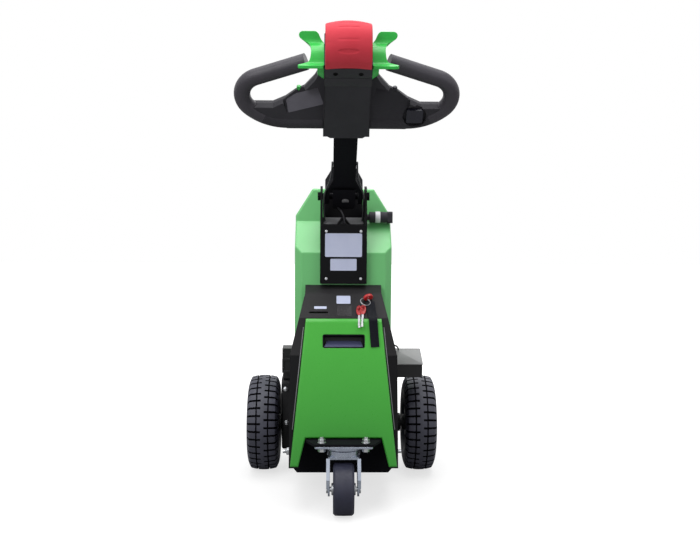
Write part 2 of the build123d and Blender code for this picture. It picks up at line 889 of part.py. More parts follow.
cable_radius = 2.0
cable_inset = 8.0
cable_bend = 12.0
cable_lead = 4.0
cable_clearance = 0.8
with BuildPart() as box_cable:
    cable_at = cross.offset(box_far + cable_inset)
    with BuildLine(cable_at) as cable_run:
        flange_face = chassis_width / 2 + sheet
        lid_slope = (box_far_rise - box_near_rise) / (box_near - box_far)
        lid = box_bottom + box_far_rise - cable_inset * lid_slope + cable_clearance
        share = cable_bend * sin(radians(45))
        Line((flange_face, lid + cable_bend + 1), (flange_face + cable_lead, lid + cable_bend + 1))
        ThreePointArc(
            (flange_face + cable_lead, lid + cable_bend + 1),
            (flange_face + cable_lead + share, lid + share + 1),
            (flange_face + cable_lead + cable_bend, lid + 1),
        )
        Line((flange_face + cable_lead + cable_bend, lid + 1), (flange_face + cable_lead + cable_bend, lid))
    with BuildSketch(Plane(origin=cable_run.line @ 0, z_dir=cable_run.line % 0)):
        Circle(cable_radius)
    sweep()
keep(box_cable, "side_box_cable")

# Tow coupling on the front plate
jaw_root = chassis_front + base_plate
jaw_tip = jaw_root + jaw_reach
jaw_eye = jaw_tip - jaw_width / 2
with BuildPart() as tow_jaw:
    with BuildSketch(cross.offset(-chassis_front)):
        with Locations((0, jaw_height)):
            RectangleRounded(jaw_bolt_x + 2 * jaw_margin, jaw_bolt_y + 2 * jaw_margin, jaw_margin / 2)
            with GridLocations(jaw_bolt_x, jaw_bolt_y, 2, 2):
                Circle(jaw_bolt_radius + hole_clearance, mode=Mode.SUBTRACT)
    extrude(amount=-base_plate)
    for start in (jaw_height - jaw_gap / 2 - jaw_plate, jaw_height + jaw_gap / 2):
        with BuildSketch(plan.offset(start)):
            with BuildLine():
                Line((-jaw_width / 2, jaw_root), (jaw_width / 2, jaw_root))
                Line((jaw_width / 2, jaw_root), (jaw_width / 2, jaw_eye))
                ThreePointArc((jaw_width / 2, jaw_eye), (0, jaw_tip), (-jaw_width / 2, jaw_eye))
                Line((-jaw_width / 2, jaw_eye), (-jaw_width / 2, jaw_root))
            make_face()
            with Locations((0, jaw_eye)):
                Circle(tow_pin_radius, mode=Mode.SUBTRACT)
        extrude(amount=jaw_plate)
keep(tow_jaw, "tow_jaw")

with BuildPart() as jaw_bolts:
    with BuildSketch(cross.offset(-jaw_root)):
        with Locations((0, jaw_height)):
            with GridLocations(jaw_bolt_x, jaw_bolt_y, 2, 2):
                RegularPolygon(hex_radius, 6)
    extrude(amount=-hex_height)
    with BuildSketch(cross.offset(-jaw_root)):
        with Locations((0, jaw_height)):
            with GridLocations(jaw_bolt_x, jaw_bolt_y, 2, 2):
                Circle(jaw_bolt_radius)
    extrude(amount=base_plate + sheet)
keep(jaw_bolts, "jaw_bolts")

# Castor: fixed plate with its race, and four bolts through the bracket
with BuildPart() as castor_plate:
    with BuildSketch(plan.offset(castor_height)):
        with Locations((0, -castor_behind_axle)):
            RectangleRounded(castor_plate_width, castor_plate_length, castor_bolt_radius + 3)
            with GridLocations(castor_holes_x, castor_holes_y, 2, 2):
                Circle(castor_bolt_radius + hole_clearance, mode=Mode.SUBTRACT)
    extrude(amount=-castor_plate_thickness)
    with BuildSketch(plan.offset(castor_height - castor_plate_thickness)):
        with Locations((0, -castor_behind_axle)):
            Circle(race_radius)
    extrude(amount=-race_height)
    race_low = castor_height - castor_plate_thickness - race_height
    fillet(castor_plate.faces().sort_by(Axis.Z)[0].edges(), race_height / 3)
keep(castor_plate, "castor_plate")

bolt_low = castor_height - castor_plate_thickness
bolt_table = (
    # start height, length, outline radius, sides (0 for round)
    (bolt_low - washer_thickness - hex_height, hex_height, hex_radius, 6),
    (bolt_low - washer_thickness, washer_thickness, washer_radius, 0),
    (bolt_low, castor_plate_thickness + bracket_thickness, castor_bolt_radius, 0),
    (bracket_top, washer_thickness, washer_radius, 0),
    (bracket_top + washer_thickness, hex_height, hex_radius, 6),
    (bracket_top + washer_thickness + hex_height, thread_end, castor_bolt_radius, 0),
)
with BuildPart() as castor_bolts:
    for start, length, radius, sides in bolt_table:
        with BuildSketch(plan.offset(start)):
            with Locations((0, -castor_behind_axle)):
                with GridLocations(castor_holes_x, castor_holes_y, 2, 2):
                    if sides:
                        RegularPolygon(radius, sides)
                    else:
                        Circle(radius)
        extrude(amount=length)
keep(castor_bolts, "castor_bolts")

# Swivelling fork: round head, crown, and two legs with flanges along their rear edges
leg_out = fork_inner_width / 2 + fork_leg_thickness
wheel_y = -castor_behind_axle - castor_trail
crown_half = crown_length / 2 - 1
leg_half = 17.0
leg_shoulder = 26.0
flange_depth = 3.0
crown_corner = 6.0
fork_head_radius = race_radius - 2
with BuildPart() as fork:
    with BuildSketch(plan.offset(crown_top)):
        with Locations((0, -castor_behind_axle)):
            Circle(fork_head_radius)
    extrude(amount=race_low - crown_top - swivel_clearance)
    with BuildSketch(plan.offset(crown_top)):
        with Locations((0, -castor_behind_axle)):
            RectangleRounded(2 * leg_out, crown_length, crown_corner)
    extrude(amount=-crown_thickness)
    for hand in (-1, 1):
        with BuildSketch(side.offset(hand * fork_inner_width / 2)):
            with BuildLine():
                Polyline(
                    (-castor_behind_axle - crown_half, crown_top - crown_corner / 2),
                    (-castor_behind_axle + crown_half, crown_top - crown_corner / 2),
                    (-castor_behind_axle + crown_half - crown_corner, crown_top - leg_shoulder),
                    (wheel_y + leg_half, castor_radius),
                    (wheel_y - leg_half, castor_radius),
                    (wheel_y - leg_half, castor_radius + leg_shoulder),
                    close=True,
                )
            make_face()
            with Locations((wheel_y, castor_radius)):
                Circle(leg_half)
                Circle(castor_bore, mode=Mode.SUBTRACT)
        extrude(amount=hand * fork_leg_thickness)
        with BuildSketch(side.offset(hand * leg_out)):
            with BuildLine():
                Polyline(
                    (-castor_behind_axle - crown_half, crown_top - crown_corner / 2),
                    (-castor_behind_axle - crown_half + flange_depth, crown_top - crown_corner / 2),
                    (wheel_y - leg_half + flange_depth, castor_radius + leg_shoulder),
                    (wheel_y - leg_half + flange_depth, castor_radius + castor_bore),
                    (wheel_y - leg_half, castor_radius + castor_bore),
                    (wheel_y - leg_half, castor_radius + leg_shoulder),
                    close=True,
                )
            make_face()
        extrude(amount=hand * fork_flange)
keep(fork, "castor_fork")

axle_head_radius = 10.0
axle_head_height = 4.0
with BuildPart() as castor_axle:
    with BuildSketch(side.offset(-leg_out)):
        with Locations((wheel_y, castor_radius)):
            Circle(castor_bore)
    extrude(amount=2 * leg_out)
    for start in (-leg_out - axle_head_height, leg_out):
        with BuildSketch(side.offset(start)):
            with Locations((wheel_y, castor_radius)):
                RegularPolygon(axle_head_radius, 6)
        extrude(amount=axle_head_height)
keep(castor_axle, "castor_axle")

# Castor wheel: rubber tyre with bevelled shoulders on a waisted core
castor_centre = Plane(
    origin=(0, axle_y + wheel_y, castor_radius),
    x_dir=(1, 0, 0),
    z_dir=(0, -1, 0),
)
castor_spin = Axis(castor_centre.origin, (1, 0, 0))
castor_half = castor_wheel_width / 2
castor_shoulder = 5.0
castor_crown = 0.6
core_hub = 14.0
core_web_inset = 8.0
core_hub_past = 4.0
with BuildPart() as castor_tyre:
    with BuildSketch(castor_centre):
        with BuildLine():
            Polyline(
                (-castor_half, castor_radius - castor_tread),
                (-castor_half, castor_radius - castor_shoulder),
                (-castor_half + castor_shoulder, castor_radius - castor_crown),
                (0, castor_radius),
                (castor_half - castor_shoulder, castor_radius - castor_crown),
                (castor_half, castor_radius - castor_shoulder),
                (castor_half, castor_radius - castor_tread),
                close=True,
            )
        make_face()
    revolve(axis=castor_spin)
keep(castor_tyre, "castor_tyre")

with BuildPart() as castor_core:
    with BuildSketch(castor_centre):
        with BuildLine():
            seat = castor_radius - castor_tread - seat_clearance
            rim_inner = seat - 4
            web = castor_half - core_web_inset
            Polyline(
                (-castor_half - core_hub_past, castor_bore + running_clearance),
                (-castor_half - core_hub_past, core_hub),
                (-web, core_hub + 2),
                (-web, rim_inner - 2),
                (-castor_half + 2, rim_inner),
                (-castor_half + 2, seat),
                (castor_half - 2, seat),
                (castor_half - 2, rim_inner),
                (web, rim_inner - 2),
                (web, core_hub + 2),
                (castor_half + core_hub_past, core_hub),
                (castor_half + core_hub_past, castor_bore + running_clearance),
                close=True,
            )
        make_face()
    revolve(axis=castor_spin)
keep(castor_core, "castor_core")

# Drive wheels: tyre with rounded walls, steel rim, hub with half shaft
tyre_half = tyre_width / 2
bead_inset = 15.0
wall_inset = 11.0
wall_rise = 10.0
bulge_below_tread = 38.0
shoulder_inset = 9.0
shoulder_drop = 5.0
rim_lip = 3.0
rim_lip_rise = 6.0
disc_half = 4.0
flange_radius = 38.0
hub_inner_radius = 22.0
for name, hand in (("left", -1), ("right", 1)):
    wheel = Plane(
        origin=(hand * wheel_x, axle_y, axle_height),
        x_dir=(hand, 0, 0),
        z_dir=(0, -hand, 0),
    )
    spin = Axis(wheel.origin, (1, 0, 0))
    tread = axle_height
    bead = (tyre_half - bead_inset, bead_radius + seat_clearance)
    wall = (tyre_half - wall_inset, bead_radius + wall_rise)
    bulge = (tyre_half, tread - bulge_below_tread)
    shoulder = (tyre_half - shoulder_inset, tread - shoulder_drop)
    with BuildPart() as tyre:
        with BuildSketch(wheel):
            with BuildLine():
                Line((-bead[0], bead[1]), bead)
                Line(bead, wall)
                ThreePointArc(wall, bulge, shoulder)
                ThreePointArc(shoulder, (0, tread), (-shoulder[0], shoulder[1]))
                ThreePointArc((-shoulder[0], shoulder[1]), (-bulge[0], bulge[1]), (-wall[0], wall[1]))
                Line((-wall[0], wall[1]), (-bead[0], bead[1]))
            make_face()
        revolve(axis=spin)
    keep(tyre, "tyre_" + name)
    with BuildPart() as rim:
        with BuildSketch(wheel):
            with BuildLine():
                lip = bead[0] + 2 * rim_lip - 3.5
                rim_inside = bead_radius - rim_lip_rise
                disc_bore = hub_radius + seat_clearance
                Polyline(
                    (-lip - rim_lip, rim_inside),
                    (-lip - rim_lip, bead_radius + rim_lip_rise),
                    (-lip, bead_radius + rim_lip_rise),
                    (-lip, bead_radius),
                    (lip, bead_radius),
                    (lip, bead_radius + rim_lip_rise),
                    (lip + rim_lip, bead_radius + rim_lip_rise),
                    (lip + rim_lip, rim_inside),
                    (disc_half, rim_inside),
                    (disc_half, disc_bore),
                    (-disc_half, disc_bore),
                    (-disc_half, rim_inside),
                    close=True,
                )
            make_face()
        revolve(axis=spin)
    keep(rim, "rim_" + name)
    with BuildPart() as hub:
        with BuildSketch(wheel):
            with BuildLine():
                inner = tube_end + tube_gap - 3 - wheel_x
                nose = tyre_half + hub_nose_reach
                Polyline(
                    (inner - half_shaft_depth, 0),
                    (inner - half_shaft_depth, half_shaft_radius),
                    (inner, half_shaft_radius),
                    (inner, hub_inner_radius),
                    (-3 * disc_half, hub_inner_radius),
                    (-3 * disc_half, flange_radius),
                    (-disc_half, flange_radius),
                    (-disc_half, hub_radius),
                    (hub_inner_radius, hub_radius),
                    (hub_inner_radius, hub_nose_radius),
                    (nose, hub_nose_radius),
                    (nose, 0),
                    close=True,
                )
            make_face()
        revolve(axis=spin)
    keep(hub, "hub_" + name)

# Tiller arm: a square tube that widens to a yoke between the cheeks
yoke_end = arm_depth / 2
yoke_back = yoke_end + 2
taper_end = yoke_straight + yoke_taper
with BuildPart() as arm:
    with BuildSketch(arm_plane):
        with BuildLine():
            Polyline(
                (-yoke_width / 2, -yoke_back),
                (yoke_width / 2, -yoke_back),
                (yoke_width / 2, yoke_straight),
                (arm_width / 2, taper_end),
                (arm_width / 2, head_start),
                (-arm_width / 2, head_start),
                (-arm_width / 2, taper_end),
                (-yoke_width / 2, yoke_straight),
                close=True,
            )
        make_face()
        with Locations((0, -yoke_back)):
            slot_length = yoke_back + yoke_slot_depth
            Rectangle(yoke_slot, slot_length, align=(Align.CENTER, Align.MIN), mode=Mode.SUBTRACT)
    extrude(amount=arm_depth / 2, both=True)
    with BuildSketch(arm_side.offset(-yoke_width / 2)):
        with BuildLine():
            Line((0, -yoke_end), (-2 * yoke_end, -yoke_end))
            Line((-2 * yoke_end, -yoke_end), (-2 * yoke_end, yoke_end))
            Line((-2 * yoke_end, yoke_end), (0, yoke_end))
            ThreePointArc((0, yoke_end), (-yoke_end, 0), (0, -yoke_end))
        make_face()
    extrude(amount=yoke_width, mode=Mode.SUBTRACT)
    with BuildSketch(arm_side.offset(-yoke_width / 2)):
        Circle(pivot_radius + running_clearance)
    extrude(amount=yoke_width, mode=Mode.SUBTRACT)
    with BuildSketch(arm_plane.offset(-arm_depth / 2 + arm_wall)):
        with Locations((0, head_start)):
            Rectangle(
                arm_width - 2 * arm_wall,
                head_start - taper_end,
                align=(Align.CENTER, Align.MAX),
            )
    extrude(amount=arm_depth - 2 * arm_wall, mode=Mode.SUBTRACT)
keep(arm, "tiller_arm")

# Planes and path of the grip loops, which lean forward from the arm
loop_tilt = radians(loop_lean)
loop_dir = along * cos(loop_tilt) + above * sin(loop_tilt)
loop_under = above * -cos(loop_tilt) + along * sin(loop_tilt)
loop_origin = pivot + along * loop_at + above * -loop_below
loop_plane = Plane(origin=loop_origin, x_dir=(1, 0, 0), z_dir=loop_under)
turn = radians(45)
last = radians(160)
bend_x = loop_straight + bend_large * sin(turn)
bend_s = bend_large * (1 - cos(turn))
mid_x = bend_x - bend_small * sin(turn)
mid_s = bend_s + bend_small * cos(turn)
top_x = mid_x + bend_small * sin(last)
top_s = mid_s - bend_small * cos(last)
grip_end = 87.0
stub_turn = asin(stub_reach / bend_large)
stub_x = loop_straight + stub_reach
stub_s = bend_large * (1 - cos(stub_turn))
stub_root = head_width / 2


def grip_path(hand):
    RadiusArc((hand * stub_x, stub_s), (hand * bend_x, bend_s), -hand * bend_large)
    RadiusArc((hand * bend_x, bend_s), (hand * top_x, top_s), -hand * bend_small)
    Line((hand * top_x, top_s), (hand * grip_end, top_s - (top_x - grip_end) * tan(last)))


def stub_path(hand):
    Line((hand * stub_root, 0), (hand * loop_straight, 0))
    RadiusArc((hand * loop_straight, 0), (hand * stub_x, stub_s), -hand * bend_large)


# Head housing: a central block, two wings that flow into the grip loops, thumb facets and a pocket
wing_flare = 30.0
wing_flare_rise = 24.0
wing_outline = (
    # distance from the middle, distance up the loop
    (40, -16),
    (loop_straight, -16),
    (stub_x, stub_s - 8),
    (stub_x + wing_flare, stub_s + wing_flare_rise),
    (stub_x + wing_flare, 45),
    (162, 45),
    (135, 59),
    (112, 78),
    (94, 87),
    (72, 114),
    (61, 135),
    (40, 150),
)
wing_draft = 12.0
facet_outer = (130.0, 28.0)
facet_inner = (50.0, 52.0)
facet_drop = 18.0
facet_run = 46.0
pocket_at = (149.0, 22.0)
pocket_radius = 26.0
pocket_depth = 7.0
wing_button_x = 104.0
wing_button_radius = 5.0
wing_button_low = 74.0
wing_button_in = 7.0
wing_button_high = 86.0
wing_hole_x = 109.0
wing_hole_radius = 2.5
neck_back = 132.0
neck_at = head_end - neck_back
block_under = head_depth / 2 - head_cover_thickness
with BuildPart() as head:
    with BuildSketch(arm_plane.offset(block_under)):
        with BuildLine():
            half = head_width / 2
            neck = head_neck_width / 2
            Polyline(
                (-neck, head_end),
                (-neck, neck_at),
                (-half, head_start + head_corner),
                (-half + head_corner, head_start),
                (half - head_corner, head_start),
                (half, head_start + head_corner),
                (neck, neck_at),
                (neck, head_end),
            )
            ThreePointArc((neck, head_end), (0, head_end + head_cap), (-neck, head_end))
        make_face()
    extrude(amount=-block_under - head_depth / 2)
    with BuildSketch(arm_side.offset(-head_width)):
        with BuildLine():
            Polyline(
                (head_start, -block_under + 20),
                (head_start + head_corner, -block_under),
                (head_end + head_cap, -block_under),
                (head_end + head_cap, head_depth / 2),
                (head_start + 3 * head_corner, head_depth / 2),
                (head_start, head_depth / 4),
                close=True,
            )
        make_face()
    extrude(amount=2 * head_width, mode=Mode.INTERSECT)
    upper = head.faces().sort_by(Axis(pivot, above))[-1]
    fillet(upper.edges(), head_round)
    for hand in (-1, 1):
        with BuildSketch(loop_plane):
            with BuildLine():
                Polyline([(hand * x, s) for x, s in wing_outline], close=True)
            make_face()
        extrude(amount=wing_half, both=True, taper=wing_draft)
        with BuildLine(loop_plane) as stub:
            stub_path(hand)
        with BuildSketch(Plane(origin=stub.line @ 0, z_dir=stub.line % 0)):
            Circle(grip_radius)
        sweep()
        with BuildLine(loop_plane) as seat_line:
            grip_path(hand)
        with BuildSketch(Plane(origin=seat_line.line @ 0, z_dir=seat_line.line % 0)):
            Circle(grip_radius + grip_clearance)
        sweep(mode=Mode.SUBTRACT)
        line_run = Vector(facet_inner[0] - facet_outer[0], facet_inner[1] - facet_outer[1])
        run = Vector(hand, 0, 0) * line_run.X + loop_dir * line_run.Y
        corner = loop_origin + Vector(hand * facet_outer[0], 0, 0) + loop_dir * facet_outer[1]
        uphill = Vector(-hand * line_run.Y, 0, 0) * -1 + loop_dir * -line_run.X
        facet = Plane(origin=corner, x_dir=uphill, z_dir=run)
        with BuildSketch(facet):
            with BuildLine():
                Polyline(
                    (0, -hand * wing_half),
                    (facet_run, -hand * (wing_half + 1)),
                    (facet_run, -hand * (wing_half - facet_drop)),
                    close=True,
                )
            make_face()
        extrude(amount=line_run.length, mode=Mode.SUBTRACT)
        with BuildSketch(Plane(origin=loop_origin, x_dir=(1, 0, 0), z_dir=loop_dir).offset(wing_button_low)):
            with Locations((hand * wing_button_x, wing_button_in)):
                Circle(wing_button_radius + hole_clearance)
        extrude(amount=wing_button_high, mode=Mode.SUBTRACT)
        with BuildSketch(loop_plane.offset(wing_half + 1)):
            with Locations((hand * wing_hole_x, 0)):
                Circle(wing_hole_radius)
        extrude(amount=-2 * wing_hole_radius, mode=Mode.SUBTRACT)
    with BuildSketch(loop_plane.offset(grip_radius)):
        with Locations(pocket_at):
            Circle(pocket_radius)
    extrude(amount=-pocket_depth - grip_radius + wing_half, mode=Mode.SUBTRACT)
keep(head, "head_housing")

# Cover along the underside, with an end that follows the belly button
cover_inset = 2.0
with BuildPart() as head_cover:
    with BuildSketch(arm_plane.offset(block_under)):
        with BuildLine():
            half = head_width / 2 - cover_inset
            neck = head_neck_width / 2 - cover_inset
            Polyline(
                (-neck, head_end),
                (-neck, neck_at),
                (-half, head_start + 2 * head_corner),
                (-half + head_corner, head_start + head_corner),
                (half - head_corner, head_start + head_corner),
                (half, head_start + 2 * head_corner),
                (neck, neck_at),
                (neck, head_end),
            )
            ThreePointArc((neck, head_end), (0, head_end + head_cap), (-neck, head_end))
        make_face()
    extrude(amount=head_cover_thickness)
keep(head_cover, "head_cover")

for name, hand in (("left", -1), ("right", 1)):
    with BuildPart() as grip:
        with BuildLine(loop_plane) as path:
            grip_path(hand)
        with BuildSketch(Plane(origin=path.line @ 0, z_dir=path.line % 0)):
            Circle(grip_radius)
        sweep()
    keep(grip, "grip_" + name)

# Belly button: a red barrel with a hollowed lower edge round the housing's end
button_gap = 0.5
button_round = 9.0
with BuildPart() as button:
    with BuildSketch(arm_side.offset(-button_width / 2)):
        with BuildLine():
            Line((head_end, -button_radius), (button_centre, -button_radius))
            ThreePointArc(
                (button_centre, -button_radius),
                (button_centre + button_radius, 0),
                (button_centre, button_radius),
            )
            Line((button_centre, button_radius), (head_end, button_radius))
            Line((head_end, button_radius), (head_end, -button_radius))
        make_face()
    extrude(amount=button_width)
    for end in (0, -1):
        fillet(button.faces().filter_by(Axis.X).sort_by(Axis.X)[end].edges(), button_round)
    with BuildSketch(arm_plane):
        with BuildLine():
            neck = head_neck_width / 2
            Line((-neck, head_end + button_gap), (-neck, head_end - head_cap))
            Line((-neck, head_end - head_cap), (neck, head_end - head_cap))
            Line((neck, head_end - head_cap), (neck, head_end + button_gap))
            ThreePointArc(
                (neck, head_end + button_gap),
                (0, head_end + head_cap + button_gap),
                (-neck, head_end + button_gap),
            )
        make_face()
    extrude(amount=2 * button_radius, both=True, mode=Mode.SUBTRACT)
keep(button, "belly_button")

# Thumb paddles: a disc on each side of the head with a butterfly of two lobes and a curved web
paddle_at = head_end - paddle_back
lobe_spread = radians(paddle_angle)
lobe_round = 6.0
lobe_half = paddle_outer * sin(lobe_spread) + paddle_thickness
web_outer = paddle_inner + paddle_thickness
lobe_middle = (paddle_inner + paddle_outer) / 2
lobe_tip = 18.0
lobe_gap = 12.0
lobe_foot = 26.0
boss_rise = 13.0
boss_taper = 42.0
waist_half = 8.0
for name, hand in (("left", -1), ("right", 1)):
    paddle_origin = pivot + along * paddle_at + Vector(hand * head_neck_width / 2, 0, 0)
    outward = Plane(origin=paddle_origin, x_dir=along, z_dir=(hand, 0, 0))
    with BuildPart() as paddle:
        with BuildSketch(outward):
            Circle(web_outer)
            Circle(paddle_inner, mode=Mode.SUBTRACT)
            with Locations((paddle_inner * cos(lobe_spread), 0)):
                Rectangle(web_outer, 2 * web_outer, align=(Align.MIN, Align.CENTER), mode=Mode.INTERSECT)
            with PolarLocations(lobe_middle, 2, -paddle_angle, 2 * paddle_angle, endpoint=True):
                Rectangle(paddle_outer - paddle_inner, paddle_thickness)
        extrude(amount=paddle_reach)
        with BuildSketch(Plane(origin=paddle_origin, x_dir=(1, 0, 0), z_dir=along)):
            with BuildLine():
                Polyline(
                    (0, -lobe_half),
                    (hand * paddle_reach, -lobe_half),
                    (hand * paddle_reach, -lobe_half + lobe_tip),
                    (hand * paddle_web_reach, -waist_half),
                    (hand * paddle_web_reach, waist_half),
                    (hand * paddle_reach, lobe_half - lobe_tip),
                    (hand * paddle_reach, lobe_half),
                    (hand * lobe_gap, lobe_half),
                    (0, lobe_foot),
                    close=True,
                )
            make_face()
            corners = vertices().filter_by(lambda v: abs(v.X) > head_neck_width / 2 + paddle_web_reach / 3)
            fillet(corners, lobe_round)
        extrude(amount=2 * paddle_outer, both=True, mode=Mode.INTERSECT)
        with BuildSketch(outward):
            Circle(paddle_disc)
        extrude(amount=paddle_disc_thickness)
        with BuildSketch(outward.offset(paddle_disc_thickness)):
            Circle(paddle_disc)
        extrude(amount=boss_rise, taper=boss_taper)
    keep(paddle, "thumb_paddle_" + name)

# Small controls on the wings: a button in each wing's upper edge and a rocker in the right pocket
rocker_width = 36.0
rocker_length = 34.0
rocker_height = 9.0
button_plane = Plane(origin=loop_origin, x_dir=(1, 0, 0), z_dir=loop_dir)
for name, hand in (("left", -1), ("right", 1)):
    with BuildPart() as wing_button:
        with BuildSketch(button_plane.offset(wing_button_low)):
            with Locations((hand * wing_button_x, wing_button_in)):
                Circle(wing_button_radius)
        extrude(amount=wing_button_high - wing_button_low)
        fillet(wing_button.faces().sort_by(Axis(loop_origin, loop_dir))[-1].edges(), 2)
        if hand > 0:
            with BuildSketch(loop_plane.offset(wing_half - pocket_depth)):
                with Locations(pocket_at):
                    RectangleRounded(rocker_width, rocker_length, 3)
            extrude(amount=rocker_height)
    keep(wing_button, "wing_switch_" + name)
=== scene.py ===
import json
import math

import bpy
from mathutils import Matrix, Vector


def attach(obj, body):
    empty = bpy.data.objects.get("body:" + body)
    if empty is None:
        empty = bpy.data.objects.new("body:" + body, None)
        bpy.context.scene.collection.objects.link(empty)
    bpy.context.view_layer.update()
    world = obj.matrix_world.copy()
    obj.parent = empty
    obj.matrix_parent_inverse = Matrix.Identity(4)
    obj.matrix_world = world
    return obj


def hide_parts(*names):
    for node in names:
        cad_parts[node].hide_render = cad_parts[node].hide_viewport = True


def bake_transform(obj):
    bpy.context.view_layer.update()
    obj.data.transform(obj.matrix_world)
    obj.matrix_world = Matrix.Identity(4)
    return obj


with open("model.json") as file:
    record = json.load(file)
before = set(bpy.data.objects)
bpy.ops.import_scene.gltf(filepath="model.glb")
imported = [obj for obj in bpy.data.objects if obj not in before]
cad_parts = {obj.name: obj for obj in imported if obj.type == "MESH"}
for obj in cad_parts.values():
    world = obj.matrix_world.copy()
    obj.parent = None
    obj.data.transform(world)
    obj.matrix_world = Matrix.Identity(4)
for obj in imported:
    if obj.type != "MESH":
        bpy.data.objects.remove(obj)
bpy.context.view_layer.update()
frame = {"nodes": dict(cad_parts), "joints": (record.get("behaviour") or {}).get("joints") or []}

# Chassis: side plates, floor, deck, castor bracket and the operator's housing, laser cut and folded
# from 4 mm sheet steel, welded and powder coated black. The coat rounds every fold a little, so each
# edge of the shell carries a thin line of light.
MM = 0.001
parts = frame["nodes"]


def linear(code):
    """The linear colour that a shader takes for an sRGB hex value."""
    levels = [int(code[i : i + 2], 16) / 255 for i in (1, 3, 5)]
    return [c / 12.92 if c <= 0.04045 else ((c + 0.055) / 1.055) ** 2.4 for c in levels] + [1.0]


def put(material, kind, settings, inputs):
    """Add a node to a material with its settings, values and links."""
    made = material.node_tree.nodes.new(kind)
    for name, value in settings.items():
        setattr(made, name, value)
    for name, value in inputs.items():
        if isinstance(value, bpy.types.NodeSocket):
            material.node_tree.links.new(value, made.inputs[name])
        else:
            made.inputs[name].default_value = value
    return made


def coating(name, deep, pale, patch, grain, relief, rough, edge=0.0, **shader):
    """A skin whose tone drifts over patches and whose roughness and relief follow a grain, in mm.
    With an edge radius it also rounds the light over sharp folds."""
    material = bpy.data.materials.new(name)
    material.use_nodes = True
    skin = material.node_tree.nodes["Principled BSDF"]
    link = material.node_tree.links.new
    at = put(material, "ShaderNodeTexCoord", {}, {}).outputs["Object"]
    drift = put(material, "ShaderNodeTexNoise", {}, {"Vector": at, "Scale": 1 / (patch * MM), "Detail": 5.0})
    tone = put(
        material,
        "ShaderNodeMix",
        {"data_type": "RGBA"},
        {0: drift.outputs["Fac"], 6: linear(deep), 7: linear(pale)},
    )
    link(tone.outputs[2], skin.inputs["Base Color"])
    fine = put(material, "ShaderNodeTexNoise", {}, {"Vector": at, "Scale": 1 / (grain * MM), "Detail": 2.0})
    spread = put(
        material,
        "ShaderNodeMapRange",
        {},
        {"Value": fine.outputs["Fac"], 1: 0.3, 2: 0.7, 3: rough - 0.07, 4: rough + 0.07},
    )
    link(spread.outputs["Result"], skin.inputs["Roughness"])
    bump = put(
        material,
        "ShaderNodeBump",
        {},
        {"Height": fine.outputs["Fac"], "Distance": relief * MM, "Strength": 1.0},
    )
    if edge:
        fold = put(material, "ShaderNodeBevel", {"samples": 4}, {"Radius": edge * MM})
        link(fold.outputs["Normal"], bump.inputs["Normal"])
    link(bump.outputs["Normal"], skin.inputs["Normal"])
    for socket, value in shader.items():
        skin.inputs[socket.replace("_", " ")].default_value = value
    return material


def dress(material, *names):
    """Give CAD pieces a finish."""
    for name in names:
        for slot in parts[name].material_slots:
            slot.material = material


# The coat's real grain is about 0.8 mm; it is drawn at 3 mm so that it shows.
black_coat = coating(
    "black_powder_coat", "#0A0A0C", "#131316", 90, 3, 0.05, 0.46, edge=1.8, Specular_IOR_Level=0.1
)
dress(
    black_coat,
    "frame_left",
    "frame_right",
    "floor_plate",
    "front_plate",
    "deck_plate",
    "tow_jaw",
    "tiller_bracket",
    "bracket_cover_plate",
)
# Painted light: the housing takes a lighter copy of the black coat, for the light from overhead on its
# upward-facing panel.
lit_housing_coat = coating(
    "black_coat_with_painted_light", "#242325", "#2F2E30", 90, 3, 0.06, 0.48, edge=2.2, Specular_IOR_Level=0.12
)
dress(lit_housing_coat, "control_housing")
bracket_coat = coating(
    "matt_black_primer", "#0C0C10", "#141419", 60, 3, 0.06, 0.8, edge=1.5, Specular_IOR_Level=0.08
)
dress(bracket_coat, "rear_bracket", "castor_well_wall", "tiller_arm")

# Battery: a sealed traction battery in a grained plastic case, standing on the floor plate behind the
# cover. Only its edges can be glimpsed through the gaps round the castor bracket.
case_plastic = coating("grained_polypropylene", "#18181A", "#232326", 60, 2.5, 0.08, 0.6)
dress(case_plastic, "battery_pack")

# Battery cover: a folded steel pan, powder coated green, that hooks into the sloping rear of the
# chassis. A moulded cup with a ramp is pressed in for the fingers that lift it, its upper edge is bent
# over, the cup is painted near black for the shade in its recess, and a thin grey bead down each side paints
# the highlight on the rim's fold.
axle_y = next(j["pos_m"][1] for j in frame["joints"] if j["name"] == "drive_spin_left")
lean = math.radians(15)
rear_foot = 369
bracket_top = 176
grip_z = 406
right = Vector((1, 0, 0))
rear_normal = Vector((0, -math.cos(lean), math.sin(lean)))
# Powder coat: an even, slightly dulled gloss with a faint grain.
green_coat = coating(
    "green_powder_coat", "#41AC36", "#4BB840", 140, 3, 0.03, 0.34, edge=1.5, Specular_IOR_Level=0.4
)
dress(green_coat, "battery_cover")
# Painted shade: the cover's green is mixed toward a darker green toward its foot, below 400 mm, for the
# shade that falls low down.
cover_skin = green_coat.node_tree.nodes["Principled BSDF"]
cover_tone = cover_skin.inputs["Base Color"].links[0].from_socket
cover_at = put(green_coat, "ShaderNodeTexCoord", {}, {}).outputs["Object"]
cover_height = put(green_coat, "ShaderNodeSeparateXYZ", {}, {"Vector": cover_at})
cover_shade_mask = put(
    green_coat, "ShaderNodeMapRange", {}, {"Value": cover_height.outputs["Z"], 1: 90 * MM, 2: 400 * MM}
)
cover_painted_shade = put(
    green_coat,
    "ShaderNodeMix",
    {"data_type": "RGBA"},
    {0: cover_shade_mask.outputs["Result"], 6: linear("#2C8726"), 7: cover_tone},
)
green_coat.node_tree.links.new(cover_painted_shade.outputs[2], cover_skin.inputs["Base Color"])


def rear_point(x, z, out=0):
    """A point on the cover's outer face, in metres, from mm; out is the stand-off along its normal."""
    y = -rear_foot + (z - bracket_top) * math.tan(lean)
    return Vector((x * MM, axle_y + y * MM, z * MM)) + rear_normal * out * MM


def named(name):
    """The primitive just added, under its piece's name."""
    piece = bpy.context.object
    piece.name = name
    piece.data.name = name
    return piece


